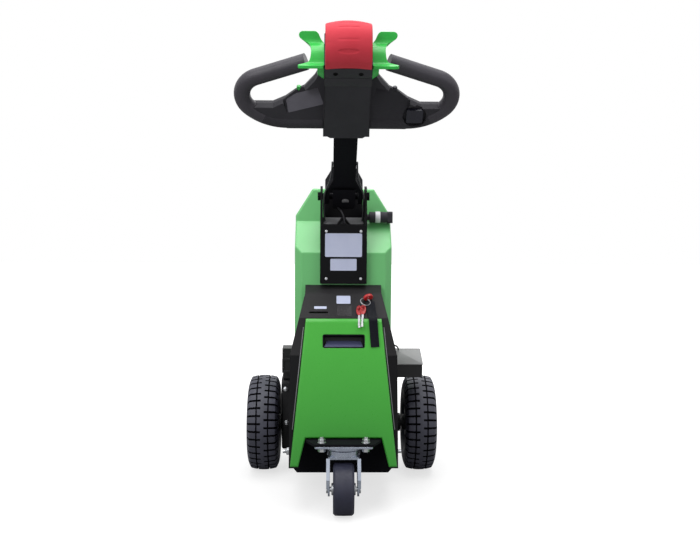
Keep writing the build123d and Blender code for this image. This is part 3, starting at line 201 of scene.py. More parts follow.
def slab(name, width, length, thick, lift=0):
    """A plain block round the origin, raised by lift, in mm, for further shaping."""
    bpy.ops.object.select_all(action="DESELECT")
    bpy.ops.mesh.primitive_cube_add(size=1)
    piece = named(name)
    piece.scale = (width * MM, length * MM, thick * MM)
    piece.location = (0, 0, lift * MM)
    bpy.ops.object.transform_apply(location=True, rotation=True, scale=True)
    return piece


def only(piece):
    """Select one object and make it active, in object mode."""
    if bpy.context.mode != "OBJECT":
        bpy.ops.object.mode_set(mode="OBJECT")
    bpy.ops.object.select_all(action="DESELECT")
    piece.select_set(True)
    bpy.context.view_layer.objects.active = piece


def pick_faces(piece, test):
    """Go to edit mode with just the faces selected whose centre and normal pass a test."""
    only(piece)
    bpy.ops.object.mode_set(mode="EDIT")
    bpy.ops.mesh.select_mode(type="FACE")
    bpy.ops.mesh.select_all(action="DESELECT")
    bpy.ops.object.mode_set(mode="OBJECT")
    for face in piece.data.polygons:
        face.select = bool(test(face.center, face.normal))
    bpy.ops.object.mode_set(mode="EDIT")


def pick_edges(piece, test):
    """Go to edit mode with just the edges selected whose two ends pass a test."""
    only(piece)
    bpy.ops.object.mode_set(mode="EDIT")
    bpy.ops.mesh.select_mode(type="EDGE")
    bpy.ops.mesh.select_all(action="DESELECT")
    bpy.ops.object.mode_set(mode="OBJECT")
    points = piece.data.vertices
    for edge in piece.data.edges:
        edge.select = bool(test(points[edge.vertices[0]].co, points[edge.vertices[1]].co))
    bpy.ops.object.mode_set(mode="EDIT")


def seat(piece, origin, across, normal):
    """Turn and move a piece modelled on the origin, facing +Z, to its place, and fix it there."""
    only(piece)
    up = normal.cross(across)
    turn = Matrix((across, up, normal)).transposed().to_4x4()
    piece.matrix_world = Matrix.Translation(origin) @ turn
    bpy.ops.object.transform_apply(location=True, rotation=True, scale=True)


def finish_piece(piece, body, material, angle=35):
    """Smooth a piece, give it its finish and let it ride on a body."""
    only(piece)
    bpy.ops.object.transform_apply(location=True, rotation=True, scale=True)
    bpy.ops.object.shade_smooth_by_angle(angle=math.radians(angle))
    piece.data.materials.clear()
    piece.data.materials.append(material)
    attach(piece, body)


cup_width = 103
cup_height = 33
cup_depth = 26
# Moulded ABS with a soft, low sheen, made near black: painted shade for the walls and back of the cup's
# recess.
recess_shade_black = coating("painted_recess_shade_black", "#0E0E12", "#17171C", 40, 2, 0.05, 0.45, Specular_IOR_Level=0.25)
cup = slab("grip_cup", cup_width, cup_height, cup_depth, -cup_depth / 2)
pick_edges(cup, lambda a, b: abs(a.z - b.z) > 1 * MM)
bpy.ops.mesh.bevel(offset=3 * MM, segments=4, affect="EDGES")
pick_faces(cup, lambda at, way: way.z > 0.9)
bpy.ops.mesh.inset(thickness=1.2 * MM)
bpy.ops.mesh.extrude_region_move(TRANSFORM_OT_translate={"value": (0, 0, (2 - cup_depth) * MM)})
bpy.ops.transform.resize(value=(0.94, 0.8, 1))
seat(cup, rear_point(0, grip_z, -0.6), right, rear_normal)
finish_piece(cup, "chassis", recess_shade_black, 30)
ramp_grey = coating("moulded_abs_blue_grey", "#484B6B", "#555879", 40, 2, 0.05, 0.42)
ramp = slab("grip_ramp", 95, 24, 1.4)
pick_edges(ramp, lambda a, b: a.y > 10 * MM and b.y > 10 * MM)
bpy.ops.transform.resize(value=(0.9, 1, 1))
pick_edges(ramp, lambda a, b: a.z > 0 and b.z > 0)
bpy.ops.mesh.bevel(offset=0.6 * MM, segments=3, affect="EDGES")
ramp_tilt = math.radians(47)
ramp_drop = 5
ramp_sunk = 13
ramp_up = Vector((0, math.sin(lean), math.cos(lean)))
ramp_normal = rear_normal * math.cos(ramp_tilt) + ramp_up * math.sin(ramp_tilt)
seat(ramp, rear_point(0, grip_z - ramp_drop, -ramp_sunk), right, ramp_normal)
finish_piece(ramp, "chassis", ramp_grey, 30)
bend = slab("cover_bend", 187, 9.6, 1.2)
pick_edges(bend, lambda a, b: a.z > 0 and b.z > 0)
bpy.ops.mesh.bevel(offset=0.5 * MM, segments=3, affect="EDGES")
bend_up = Vector((0, 7, 6.8)).normalized()
bend_at = Vector((0, axle_y - 290.8 * MM, 455.4 * MM))
seat(bend, bend_at, right, right.cross(bend_up))
finish_piece(bend, "chassis", green_coat, 30)
cover_foot = 111
cover_foot_half = 129
cover_taper = 35 / 341
rim_gap = 4
rim_sunk = 8.8


def rim_point(hand, z):
    """A point on the black rim just outside the cover's edge."""
    return rear_point(hand * (cover_foot_half - (z - cover_foot) * cover_taper + rim_gap), z, -rim_sunk)


# Painted highlight: a thin glossy grey bead down each side of the cover, on the black rim, stands for the
# line of light on the rim's fold.
highlight_radius = 1.3
highlight_low = 200
highlight_high = 440
edge_highlight_grey = coating("painted_edge_highlight", "#6E6E72", "#808085", 30, 2, 0.02, 0.16)
for side, hand in (("left", -1), ("right", 1)):
    foot = rim_point(hand, highlight_low)
    top = rim_point(hand, highlight_high)
    bpy.ops.object.select_all(action="DESELECT")
    bpy.ops.mesh.primitive_cylinder_add(vertices=16, radius=highlight_radius * MM, depth=(top - foot).length)
    bead = named(f"rim_highlight_bead_{side}")
    pick_faces(bead, lambda at, way: abs(way.z) > 0.9)
    bpy.ops.mesh.inset(thickness=0.5 * MM, use_individual=True)
    bpy.ops.transform.resize(value=(1, 1, 1.004))
    run_up = (top - foot).normalized()
    seat(bead, (foot + top) / 2, rear_normal.cross(run_up).normalized(), run_up)
    finish_piece(bead, "chassis", edge_highlight_grey, 50)

# Hood: a green moulded shell in two steps over the drive unit, with broad chamfers down its sides and
# softly rounded edges. It has the same green as the cover but is painted paler and whiter for the sheen on
# it, and its slopes mirror the bright ceiling.
hood_coat = coating(
    "green_hood_lacquer", "#6ABF74", "#73C77C", 260, 9, 0.003, 0.4,
    edge=2.5, Coat_Weight=0.2, Coat_Roughness=0.25,
)
dress(hood_coat, "hood")

# Tiller bracket: two steel cheeks and a closing plate that hold the tiller's pivot, with zinc-plated
# screws in the plate's corners and two blank aluminium plates between them. A black plate behind the pivot
# stands in for the arm's dark end and the shade between the cheeks, a dark sheet under the shelf paints the
# shade in its notch, and rubber mats lie on top.
bracket_face = axle_y - 197 * MM
out_back = Vector((0, -1, 0))
# Zinc plate: bright and slightly mottled, sharper on the edges.
zinc = coating("bright_zinc_plate", "#B4B7BC", "#D9DBDE", 14, 2.2, 0.03, 0.3, edge=0.8, Metallic=0.95)
dress(bracket_coat, "pivot_shaft")


def screw_head(name, radius, height):
    """A pan-head screw on the origin, facing +Z, with a hexagon socket sunk in its head."""
    bpy.ops.object.select_all(action="DESELECT")
    bpy.ops.mesh.primitive_cylinder_add(vertices=24, radius=radius * MM, depth=height * MM)
    head = named(name)
    head.location = (0, 0, height / 2 * MM)
    bpy.ops.object.transform_apply(location=True, rotation=True, scale=True)
    pick_edges(head, lambda a, b: a.z > 0.5 * height * MM and b.z > 0.5 * height * MM)
    bpy.ops.mesh.bevel(offset=0.45 * height * MM, segments=3, affect="EDGES")
    pick_faces(head, lambda at, way: way.z > 0.95 and at.z > 0.9 * height * MM)
    bpy.ops.mesh.inset(thickness=radius * 0.28 * MM)
    bpy.ops.mesh.extrude_region_move(TRANSFORM_OT_translate={"value": (0, 0, -0.5 * height * MM)})
    only(head)
    return head


def copy_piece(master, name, origin, across, normal, body, material):
    """A copy of a master piece with its own mesh, seated and finished."""
    piece = master.copy()
    piece.data = master.data.copy()
    piece.name = name
    piece.data.name = name
    bpy.context.scene.collection.objects.link(piece)
    seat(piece, origin, across, normal)
    finish_piece(piece, body, material)
    return piece


screw = screw_head("screw_master", 3.7, 2.8)
plate_screw_x = 44
plate_screw_rows = (670, 549)
screw_spots = [(hand * plate_screw_x, z) for z in plate_screw_rows for hand in (-1, 1)]
for i, (x, z) in enumerate(screw_spots):
    place = Vector((x * MM, bracket_face, z * MM))
    copy_piece(screw, f"bracket_screw_{i}", place, right, out_back, "chassis", zinc)


def label(name, width, height, thickness, corner, frame_line):
    """A blank plate on the origin, facing +Z, with round corners and a raised border line."""
    plate = slab(name, width, height, thickness, thickness / 2)
    pick_edges(plate, lambda a, b: abs(a.z - b.z) > 0.5 * thickness * MM)
    bpy.ops.mesh.bevel(offset=corner * MM, segments=4, affect="EDGES")
    pick_faces(plate, lambda at, way: way.z > 0.9)
    bpy.ops.mesh.inset(thickness=frame_line * MM)
    bpy.ops.mesh.inset(thickness=0.4 * MM)
    bpy.ops.transform.translate(value=(0, 0, -0.3 * thickness * MM))
    only(plate)
    return plate


rating_z = 635
small_z = 585
# Enamelled aluminium: a cool white with a smooth half gloss.
plate_white = coating("white_enamelled_aluminium", "#B9C0DC", "#C9CFE6", 30, 2, 0.02, 0.38)
rating = label("rating_plate", 94, 60, 0.8, 3, 1.4)
seat(rating, Vector((0, bracket_face, rating_z * MM)), right, out_back)
finish_piece(rating, "chassis", plate_white, 12)
small = label("small_plate", 67, 30, 0.8, 2.5, 1.2)
seat(small, Vector((0, bracket_face, small_z * MM)), right, out_back)
finish_piece(small, "chassis", plate_white, 12)

# Painted shade: a black plate behind the pivot stands in for the arm's dark end and paints the shade between
# the cheeks, where the hood would show.
shade_plate_back = axle_y - 95.3 * MM
shade_plate_z = 732
shade_plate = slab("yoke_shade_plate", 101, 80, 2.5)
pick_edges(shade_plate, lambda a, b: abs(a.z - b.z) > 1 * MM and a.y > 0)
bpy.ops.mesh.bevel(offset=16 * MM, segments=6, affect="EDGES")
pick_edges(shade_plate, lambda a, b: a.z > 1 * MM and b.z > 1 * MM)
bpy.ops.mesh.bevel(offset=0.7 * MM, segments=2, affect="EDGES")
seat(shade_plate, Vector((0, shade_plate_back, shade_plate_z * MM)), right, out_back)
finish_piece(shade_plate, "chassis", black_coat, 25)
shelf_at = Vector((0, axle_y - 154 * MM, 694.5 * MM))
shelf_run = Vector((0, 80, 17)).normalized()
shelf_up = right.cross(shelf_run)
# Painted shade: a thin dark sheet under the shelf fills its notch with the shade seen there.
shade_sheet = slab("shelf_shade_sheet", 96, 68, 1.5)
pick_edges(shade_sheet, lambda a, b: abs(a.z - b.z) > 1 * MM)
bpy.ops.mesh.bevel(offset=5 * MM, segments=4, affect="EDGES")
pick_edges(shade_sheet, lambda a, b: a.z < 0 and b.z < 0)
bpy.ops.mesh.bevel(offset=0.4 * MM, segments=2, affect="EDGES")
seat(shade_sheet, shelf_at - shelf_up * 5.2 * MM, right, shelf_up)
finish_piece(shade_sheet, "chassis", recess_shade_black, 25)
mat_x = 34
mat_grey = coating("grey_rubber_mat", "#5C5C5F", "#6A6A6D", 20, 2, 0.08, 0.6)
for side, hand in (("left", -1), ("right", 1)):
    mat = slab(f"shelf_mat_{side}", 34, 64, 0.9)
    pick_edges(mat, lambda a, b: a.y > 0 and b.y > 0 and a.x * hand < 0 and b.x * hand < 0)
    bpy.ops.transform.translate(value=(-hand * 11 * MM, 0, 0))
    pick_edges(mat, lambda a, b: abs(a.z - b.z) > 0.5 * MM)
    bpy.ops.mesh.bevel(offset=2 * MM, segments=3, affect="EDGES")
    pick_edges(mat, lambda a, b: a.z > 0 and b.z > 0)
    bpy.ops.mesh.bevel(offset=0.3 * MM, segments=2, affect="EDGES")
    seat(mat, shelf_at + right * hand * mat_x * MM + shelf_up * 0.5 * MM, right, shelf_up)
    finish_piece(mat, "chassis", mat_grey, 25)

# Release lever: a round plastic grip on a stem beside the bracket, ending in a block at the hood's
# corner. A pale nylon ring is slipped over the grip.
# ABS from a spark-eroded mould: dark grey, with a fine matt grain.
abs_black = coating(
    "black_abs_spark_grain", "#343338", "#3F3E43", 50, 2.2, 0.06, 0.55, edge=1.2, Specular_IOR_Level=0.12
)
dress(abs_black, "release_lever")
lever_at = Vector((0, axle_y - 110 * MM, 703 * MM))
ring_x = 90.5
nylon = coating("white_nylon", "#DADBE0", "#ECECEF", 12, 2, 0.03, 0.4)
bpy.ops.object.select_all(action="DESELECT")
bpy.ops.mesh.primitive_cylinder_add(vertices=48, radius=15.2 * MM, depth=13 * MM, end_fill_type="NOTHING")
ring = named("lever_ring")
bpy.ops.object.modifier_add(type="SOLIDIFY")
ring.modifiers[-1].thickness = 1.1 * MM
bpy.ops.object.modifier_apply(modifier=ring.modifiers[-1].name)
pick_edges(ring, lambda a, b: abs(a.z - b.z) < 0.01 * MM and min(a.xy.length, b.xy.length) > 15 * MM)
bpy.ops.mesh.bevel(offset=0.6 * MM, segments=2, affect="EDGES")
seat(ring, lever_at + right * ring_x * MM, Vector((0, 1, 0)), right)
finish_piece(ring, "chassis", nylon)

# Operator's panel: the sloping black face of the housing carries a blank white sticker, a small blank
# symbol plate above the card slot and a smooth dark window; all are thin printed film.
panel_bend = Vector((0, axle_y - 210 * MM, 513 * MM))
panel_lip = Vector((0, axle_y - 282.6 * MM, 460 * MM))
down_panel = (panel_lip - panel_bend).normalized()
panel_normal = down_panel.cross(right)


def on_panel(x, down, out=0):
    """A point on the panel, x across and down from its bend, in mm."""
    return panel_bend + right * x * MM + down_panel * down * MM + panel_normal * out * MM


sticker = label("panel_sticker", 35, 29, 0.5, 2.4, 1.2)
seat(sticker, on_panel(0, 24), right, panel_normal)
finish_piece(sticker, "chassis", plate_white, 12)
symbol = label("symbol_plate", 31, 9, 0.5, 1.6, 0.6)
seat(symbol, on_panel(-58, 53), right, panel_normal)
finish_piece(symbol, "chassis", plate_white, 12)
# Smoked polycarbonate: dark and smooth, with a thin gloss.
film = coating("smoked_polycarbonate", "#353336", "#3F3D3F", 25, 2, 0.01, 0.22, Coat_Weight=0.3)
window = label("panel_window", 36, 38, 0.6, 2.5, 1.2)
seat(window, on_panel(2, 64), right, panel_normal)
finish_piece(window, "chassis", film, 12)

# Keys: a steel lock with a red-headed key in it, and two spare keys on the same wire ring, which lie
# on the panel with their nickel blades over its lip.
# Blackened steel: near black, with a dull metal shine.
dark_steel = coating("blackened_steel", "#1B1C1F", "#28292D", 12, 2, 0.03, 0.45, edge=0.8, Metallic=0.4)
dress(dark_steel, "key_switch")
# Red nylon: an even satin.
key_red = coating("red_nylon", "#B01E22", "#C92A2C", 10, 1.5, 0.03, 0.35)


def key_bow(name, long, wide, thick, eye):
    """A flat oval key head with an eye through it, on the origin, facing +Z."""
    bpy.ops.object.select_all(action="DESELECT")
    bpy.ops.mesh.primitive_cylinder_add(vertices=32, radius=wide / 2 * MM, depth=thick * MM)
    bow = named(name)
    pick_faces(bow, lambda at, way: abs(way.z) > 0.9)
    bpy.ops.mesh.inset(thickness=(wide / 2 - eye) * MM, use_individual=True)
    bpy.ops.mesh.bridge_edge_loops()
    only(bow)
    for point in bow.data.vertices:
        if point.co.xy.length > (eye + 0.2) * MM:
            point.co.y *= long / wide
        else:
            point.co.y += 0.24 * long * MM
    rim_from = 0.35 * wide * MM
    pick_edges(bow, lambda a, b: abs(a.z - b.z) < 0.01 * MM and min(a.xy.length, b.xy.length) > rim_from)
    bpy.ops.mesh.bevel(offset=0.22 * thick * MM, segments=3, affect="EDGES")
    only(bow)
    return bow


lock_key = key_bow("key_in_lock", 19, 25, 7, 3.5)
lock_across = (right * 0.94 - down_panel * 0.34).normalized()
seat(lock_key, on_panel(62, 26, 10.5), lock_across, lock_across.cross(panel_normal))
finish_piece(lock_key, "chassis", key_red)


def blade(name, long, wide, thick):
    """A key blade on the origin, along -Y, facing +Z, with a groove down its face and cut teeth."""
    bpy.ops.object.select_all(action="DESELECT")
    bpy.ops.mesh.primitive_cube_add(size=1)
    shank = named(name)
    shank.scale = (wide * MM, long * MM, thick * MM)
    shank.location = (0, -long / 2 * MM, 0)
    bpy.ops.object.transform_apply(location=True, rotation=True, scale=True)
    only(shank)
    bpy.ops.object.mode_set(mode="EDIT")
    bpy.ops.mesh.select_all(action="SELECT")
    bpy.ops.mesh.subdivide(number_cuts=7)
    only(shank)
    for point in shank.data.vertices:
        if point.co.x > 0.45 * wide * MM:
            point.co.x -= (0.8 + 0.8 * math.sin(point.co.y / MM * 1.3)) * 0.1 * wide * MM
    pick_faces(shank, lambda at, way: way.z > 0.9 and abs(at.x) < 0.16 * wide * MM)
    bpy.ops.mesh.extrude_region_move(TRANSFORM_OT_translate={"value": (0, 0, -0.25 * thick * MM)})
    only(shank)
    return shank


# Nickel silver: a pale, slightly warm metal, worn dull.
nickel = coating("nickel_silver", "#98999C", "#B6B7BA", 6, 1.5, 0.02, 0.4, Metallic=0.75)
for i, (x, tip, lift) in enumerate(((38.5, -1, 1.8), (48.5, -4, 5))):
    swing = math.radians(tip)
    across = right * math.cos(swing) - down_panel * math.sin(swing)
    way = down_panel * math.cos(swing) + right * math.sin(swing)
    spare = key_bow(f"spare_bow_{i}", 35, 14, 3.2, 2.2)
    seat(spare, on_panel(x, 65, lift), across, panel_normal)
    finish_piece(spare, "chassis", key_red)
    tooth = blade(f"spare_blade_{i}", 45, 5.2, 1.8)
    seat(tooth, on_panel(x, 65, lift) + way * 16 * MM, across, panel_normal)
    finish_piece(tooth, "chassis", nickel)
bpy.ops.object.select_all(action="DESELECT")
bpy.ops.mesh.primitive_torus_add(
    major_radius=12.5 * MM, minor_radius=0.75 * MM, major_segments=48, minor_segments=8
)
wire = named("key_ring")
bpy.ops.object.duplicate()
second = bpy.context.object
second.location = (0.6 * MM, 0, 1.3 * MM)
wire.select_set(True)
bpy.context.view_layer.objects.active = wire
bpy.ops.object.join()
ring_across = (right * 0.97 - panel_normal * 0.25).normalized()
seat(wire, on_panel(54, 41, 9), ring_across, ring_across.cross(-down_panel))
finish_piece(wire, "chassis", nickel)
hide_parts("key_set")

# Key tag: a woven polyester strap, doubled and sewn round the ring, that hangs over the panel's lip
# and lies on the battery cover. It is dark blue, and its long edges curl up a little.
tag_width = 21
strap_thick = 1.2
thread_gap = 1.5
strap = bpy.data.materials.new("woven_polyester_strap")
strap.use_nodes = True
strap_skin = strap.node_tree.nodes["Principled BSDF"]
strap_at = put(strap, "ShaderNodeTexCoord", {}, {}).outputs["UV"]
# The real threads are 0.5 mm apart; they are drawn 1.5 mm apart so that the weave shows.
threads = put(
    strap,
    "ShaderNodeTexWave",
    {"bands_direction": "DIAGONAL"},
    {"Vector": strap_at, "Scale": 1 / (thread_gap * MM) / 20, "Distortion": 0.4},
)
strap_tone = put(
    strap,
    "ShaderNodeMix",
    {"data_type": "RGBA"},
    {0: threads.outputs["Fac"], 6: linear("#06080F"), 7: linear("#0F1320")},
)
strap.node_tree.links.new(strap_tone.outputs[2], strap_skin.inputs["Base Color"])
strap_bump = put(
    strap,
    "ShaderNodeBump",
    {},
    {"Height": threads.outputs["Fac"], "Distance": 0.25 * MM},
)
strap.node_tree.links.new(strap_bump.outputs["Normal"], strap_skin.inputs["Normal"])
strap_skin.inputs["Roughness"].default_value = 0.8
strap_skin.inputs["Sheen Weight"].default_value = 0.1
strap_skin.inputs["Specular IOR Level"].default_value = 0.15


def path_through(knots, fineness):
    """A smooth curve along the given points."""
    bpy.ops.object.select_all(action="DESELECT")
    bpy.ops.curve.primitive_nurbs_path_add()
    curve = bpy.context.object
    curve.data.splines.clear()
    run = curve.data.splines.new("NURBS")
    run.points.add(len(knots) - 1)
    for point, knot in zip(run.points, knots):
        point.co = (*knot, 1)
    run.order_u = 3
    run.use_endpoint_u = True
    run.resolution_u = fineness
    return curve


strap_knots = [
    on_panel(67, 38, 7),
    on_panel(69, 62, 4.5),
    on_panel(71, 85, 5.5),
    rear_point(72.3, 457, 6),
    rear_point(72.8, 447, 4),
    rear_point(74, 430, 2.4),
    rear_point(77, 392, 2.0),
]
route = path_through(strap_knots, 12)
drawn = route.evaluated_get(bpy.context.evaluated_depsgraph_get())
path = [Vector(v.co) for v in bpy.data.meshes.new_from_object(drawn).vertices]
bpy.data.objects.remove(route)
strap_steps = [0.0]
for a, b in zip(path, path[1:]):
    strap_steps.append(strap_steps[-1] + (b - a).length)
bpy.ops.mesh.primitive_grid_add(x_subdivisions=6, y_subdivisions=len(path) - 1, size=1)
tag = named("key_strap")
for point in tag.data.vertices:
    step = round((point.co.y + 0.5) * (len(path) - 1))
    here = path[step]
    ahead = path[min(step + 1, len(path) - 1)] - path[max(step - 1, 0)]
    face = ahead.cross(right).normalized()
    across = face.cross(ahead).normalized()
    curl = (point.co.x * 2) ** 2 * 0.9 * MM
    point.co = here - across * point.co.x * tag_width * MM + face * curl
pick_faces(tag, lambda at, way: True)
bpy.ops.mesh.normals_make_consistent(inside=False)
bpy.ops.mesh.select_all(action="SELECT")
only(tag)
bpy.ops.object.modifier_add(type="SOLIDIFY")
tag.modifiers[-1].thickness = strap_thick * MM
tag.modifiers[-1].offset = 0
bpy.ops.object.modifier_apply(modifier=tag.modifiers[-1].name)
finish_piece(tag, "chassis", strap, 50)
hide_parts("key_tag")

# Drive unit: a cast axle with its motor, a casing and a stepped black box inboard of the left tyre and
# a grey moulded box with a short cable inboard of the right one, held by bright zinc bolts.
# Painted cast iron: black over the rough skin of the sand mould.
cast = coating("painted_cast_iron", "#161618", "#232326", 35, 4, 0.2, 0.5, edge=1.5, Specular_IOR_Level=0.3)
dress(cast, "drive_axle", "drive_motor", "gear_case_left")
box_plastic = coating(
    "black_polyamide", "#131314", "#1E1E20", 45, 2.4, 0.05, 0.42, edge=1.4, Specular_IOR_Level=0.35
)
dress(box_plastic, "brake_box_left")
box_grey = coating("grey_moulded_polyamide", "#6C6C6E", "#7A7A7B", 45, 2.4, 0.05, 0.42, edge=1.2)
# Painted shade: the grey box is dressed in black plastic so that its sides read as shaded, and a thin grey
# sheet on its sloping top keeps the grey there, lit.
dress(box_plastic, "side_box_right")
grey_top_low = 318
grey_top_high = 344
grey_top_run = 90
grey_top_slope = Vector((0, grey_top_run, grey_top_high - grey_top_low)).normalized()
grey_top = slab("side_box_grey_top", 75, 96, 2)
pick_edges(grey_top, lambda a, b: abs(a.z - b.z) > 1 * MM)
bpy.ops.mesh.bevel(offset=3 * MM, segments=4, affect="EDGES")
pick_faces(grey_top, lambda at, way: way.z < -0.9)
bpy.ops.mesh.inset(thickness=1.5 * MM)
bpy.ops.mesh.extrude_region_move(TRANSFORM_OT_translate={"value": (0, 0, 1.2 * MM)})
pick_edges(grey_top, lambda a, b: a.z > 0.9 * MM and b.z > 0.9 * MM)
bpy.ops.mesh.bevel(offset=0.8 * MM, segments=2, affect="EDGES")
grey_top_at = Vector((174 * MM, axle_y - 99 * MM, (grey_top_low + grey_top_high) / 2 * MM))
grey_top_up = right.cross(grey_top_slope)
seat(grey_top, grey_top_at + grey_top_up * 1.1 * MM, right, grey_top_up)
finish_piece(grey_top, "chassis", box_grey, 25)
sheath = coating("black_pvc_sheath", "#151516", "#202022", 20, 2, 0.03, 0.4)
dress(sheath, "side_box_cable")
washer_thick = 1.4


def hex_bolt(name, across, height, washer, tip):
    """A hexagon head with washer on the origin, facing +Z, and the end of a stud standing out of it."""
    bpy.ops.object.select_all(action="DESELECT")
    bpy.ops.mesh.primitive_cylinder_add(vertices=6, radius=across / 1.732 * MM, depth=height * MM)
    bolt = named(name)
    bolt.location = (0, 0, (washer_thick + height / 2) * MM)
    bpy.ops.object.transform_apply(location=True, rotation=True, scale=True)
    pick_faces(bolt, lambda at, way: way.z > 0.9)
    bpy.ops.mesh.inset(thickness=0.13 * across * MM)
    bpy.ops.transform.translate(value=(0, 0, 0.07 * across * MM))
    bpy.ops.mesh.primitive_cylinder_add(
        vertices=28, radius=washer * MM, depth=washer_thick * MM, location=(0, 0, washer_thick / 2 * MM)
    )
    bpy.ops.mesh.bevel(offset=0.3 * MM, segments=2, affect="EDGES")
    if tip:
        top = washer_thick + height + 0.07 * across
        bpy.ops.mesh.primitive_cylinder_add(
            vertices=20, radius=0.3 * across * MM, depth=tip * MM, location=(0, 0, (top + tip / 2) * MM)
        )
        bpy.ops.mesh.bevel(offset=0.5 * MM, segments=2, affect="EDGES")
    only(bolt)
    return bolt


bolt = hex_bolt("bolt_master", 9, 4.5, 6.5, 0)
case_back = axle_y - 52 * MM
for i, (x, z) in enumerate(((-153, 233), (-151, 140))):
    place = Vector((x * MM, case_back, z * MM))
    copy_piece(bolt, f"case_bolt_{i}", place, right, out_back, "chassis", zinc)
nut = hex_bolt("nut_master", 17, 13, 11, 9)
for side, hand in (("left", -1), ("right", 1)):
    place = Vector((hand * 132 * MM, axle_y - 140 * MM, 85 * MM))
    copy_piece(nut, f"tray_nut_{side}", place, Vector((0, -hand, 0)), right * hand, "chassis", zinc)
for spent in (screw, bolt, nut):
    bpy.data.objects.remove(spent)

# Drive wheels: block-tread tyres on silver steel rims with turned hubs. The tread has a narrow centre
# rib, two thin grooves round the tyre and cross cuts from each shoulder that stop short of the rib.
# Tyre rubber: dark blue-grey and matt, painted near black in the cuts for the shade inside them.
rubber = coating("tyre_rubber", "#33343E", "#474857", 40, 3, 0.1, 0.55)
silver = coating("silver_wheel_paint", "#8C8E92", "#A5A7AA", 40, 2.5, 0.04, 0.36, edge=1.0, Metallic=0.5)
dress(silver, "rim_left", "rim_right")
dress(dark_steel, "hub_left", "hub_right")
cuts_round = 38
cut_share = 0.26
groove_in = 13.8
groove_out = 17.4
cut_from = 4.5
cut_to = 40.94
cut_deep = 7.5
cut_floor = 100
shoulder = 105
bead_radius = 52.3
# The half section from the middle of the tread out and down the side wall to the bead.
tread_half = [0, cut_from, 9, groove_in, groove_out, 22, 27, 31, 34, 36.4, 38.8, cut_to]
tread_half += [42.5, 43.07, 42.3, 40.4, 37, 32, 28]
tread_radius = [130, 129.9, 129.6, 129.2, 128.6, 127.9, 126.8, 125.8, 124.9, 121, 116, 110]
tread_radius += [103, 94, 86, 78, 70, 62, bead_radius]
across_tread = [-x for x in reversed(tread_half[1:])] + tread_half
radius_at = list(reversed(tread_radius[1:])) + tread_radius
cut_shade_rubber = coating(
    "tyre_rubber_painted_shade_in_cuts", "#0B0B0E", "#15151A", 40, 3, 0.1, 0.8, Specular_IOR_Level=0.05
)
angle_stops = [0.0, cut_share, 0.5, 0.5 + cut_share, 1.0]
pitch = 2 * math.pi / cuts_round


def tread_at(x):
    """The tread's radius in metres at x mm from the tyre's middle."""
    for k in range(1, tread_half.index(cut_to) + 1):
        if x <= tread_half[k]:
            share = (x - tread_half[k - 1]) / (tread_half[k] - tread_half[k - 1])
            return (tread_radius[k - 1] + share * (tread_radius[k] - tread_radius[k - 1])) * MM
    return 0.0


def in_groove(at, way):
    """Whether a tread face is sunk: in a groove round the tyre or in a cross cut."""
    x = at.x / MM
    if at.yz.length < shoulder * MM:
        return False
    if groove_in < abs(x) < groove_out:
        return True
    share = (math.atan2(at.y, at.z) % (2 * math.pi)) / pitch % 1.0
    first = share < cut_share
    second = 0.5 < share < 0.5 + cut_share
    return cut_from < abs(x) < cut_to and (first if x > 0 else second)


def round_edges(piece, width, segments, angle):
    """Round the edges of a piece that are sharper than an angle in degrees, by a width in mm."""
    bpy.ops.object.modifier_add(type="BEVEL")
    soft = piece.modifiers[-1]
    soft.width = width * MM
    soft.segments = segments
    soft.limit_method = "ANGLE"
    soft.angle_limit = math.radians(angle)
    bpy.ops.object.modifier_apply(modifier=soft.name)


def at_bead(a, b):
    """Whether an edge is one of the two open rings that sit on the rim."""
    limit = (bead_radius + 0.5) * MM
    return a.yz.length < limit and b.yz.length < limit and abs(a.x - b.x) < 0.1 * MM


for side, hand in (("left", -1), ("right", 1)):
    centre = next(Vector(j["pos_m"]) for j in frame["joints"] if j["name"] == f"drive_spin_{side}")
    bpy.ops.object.select_all(action="DESELECT")
    bpy.ops.mesh.primitive_grid_add(x_subdivisions=len(across_tread) - 1, y_subdivisions=4, size=1)
    tyre = named(f"tread_tyre_{side}")
    for point in tyre.data.vertices:
        i = round((point.co.x + 0.5) * (len(across_tread) - 1))
        j = round((point.co.y + 0.5) * 4)
        turn = angle_stops[j] * pitch
        point.co = (
            across_tread[i] * MM,
            radius_at[i] * math.sin(turn) * MM,
            radius_at[i] * math.cos(turn) * MM,
        )
    only(tyre)
    bpy.ops.object.mode_set(mode="EDIT")
    bpy.ops.mesh.select_all(action="SELECT")
    bpy.ops.mesh.spin(
        steps=cuts_round - 1,
        dupli=True,
        angle=2 * math.pi - pitch,
        center=(0, 0, 0),
        axis=(-1, 0, 0),
    )
    bpy.ops.mesh.select_all(action="SELECT")
    bpy.ops.mesh.remove_doubles(threshold=0.05 * MM)
    bpy.ops.mesh.normals_make_consistent(inside=False)
    pick_faces(tyre, in_groove)
    bpy.ops.mesh.extrude_region_shrink_fatten(TRANSFORM_OT_shrink_fatten={"value": -cut_deep * MM})
    pick_edges(tyre, at_bead)
    bpy.ops.mesh.bridge_edge_loops()
    bpy.ops.mesh.select_all(action="SELECT")
    bpy.ops.mesh.normals_make_consistent(inside=False)
    only(tyre)
    round_edges(tyre, 0.5, 1, 50)
    tyre.location = centre
    finish_piece(tyre, f"drive_wheel_{side}", rubber, 38)
    # Painted shade: faces sunk in the cuts take the near-black rubber.
    tyre.data.materials.append(cut_shade_rubber)
    for face in tyre.data.polygons:
        at = face.center - centre
        if cut_floor * MM < at.yz.length < tread_at(abs(at.x) / MM) - cut_deep / 3 * MM:
            face.material_index = 1
    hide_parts(f"tyre_{side}")

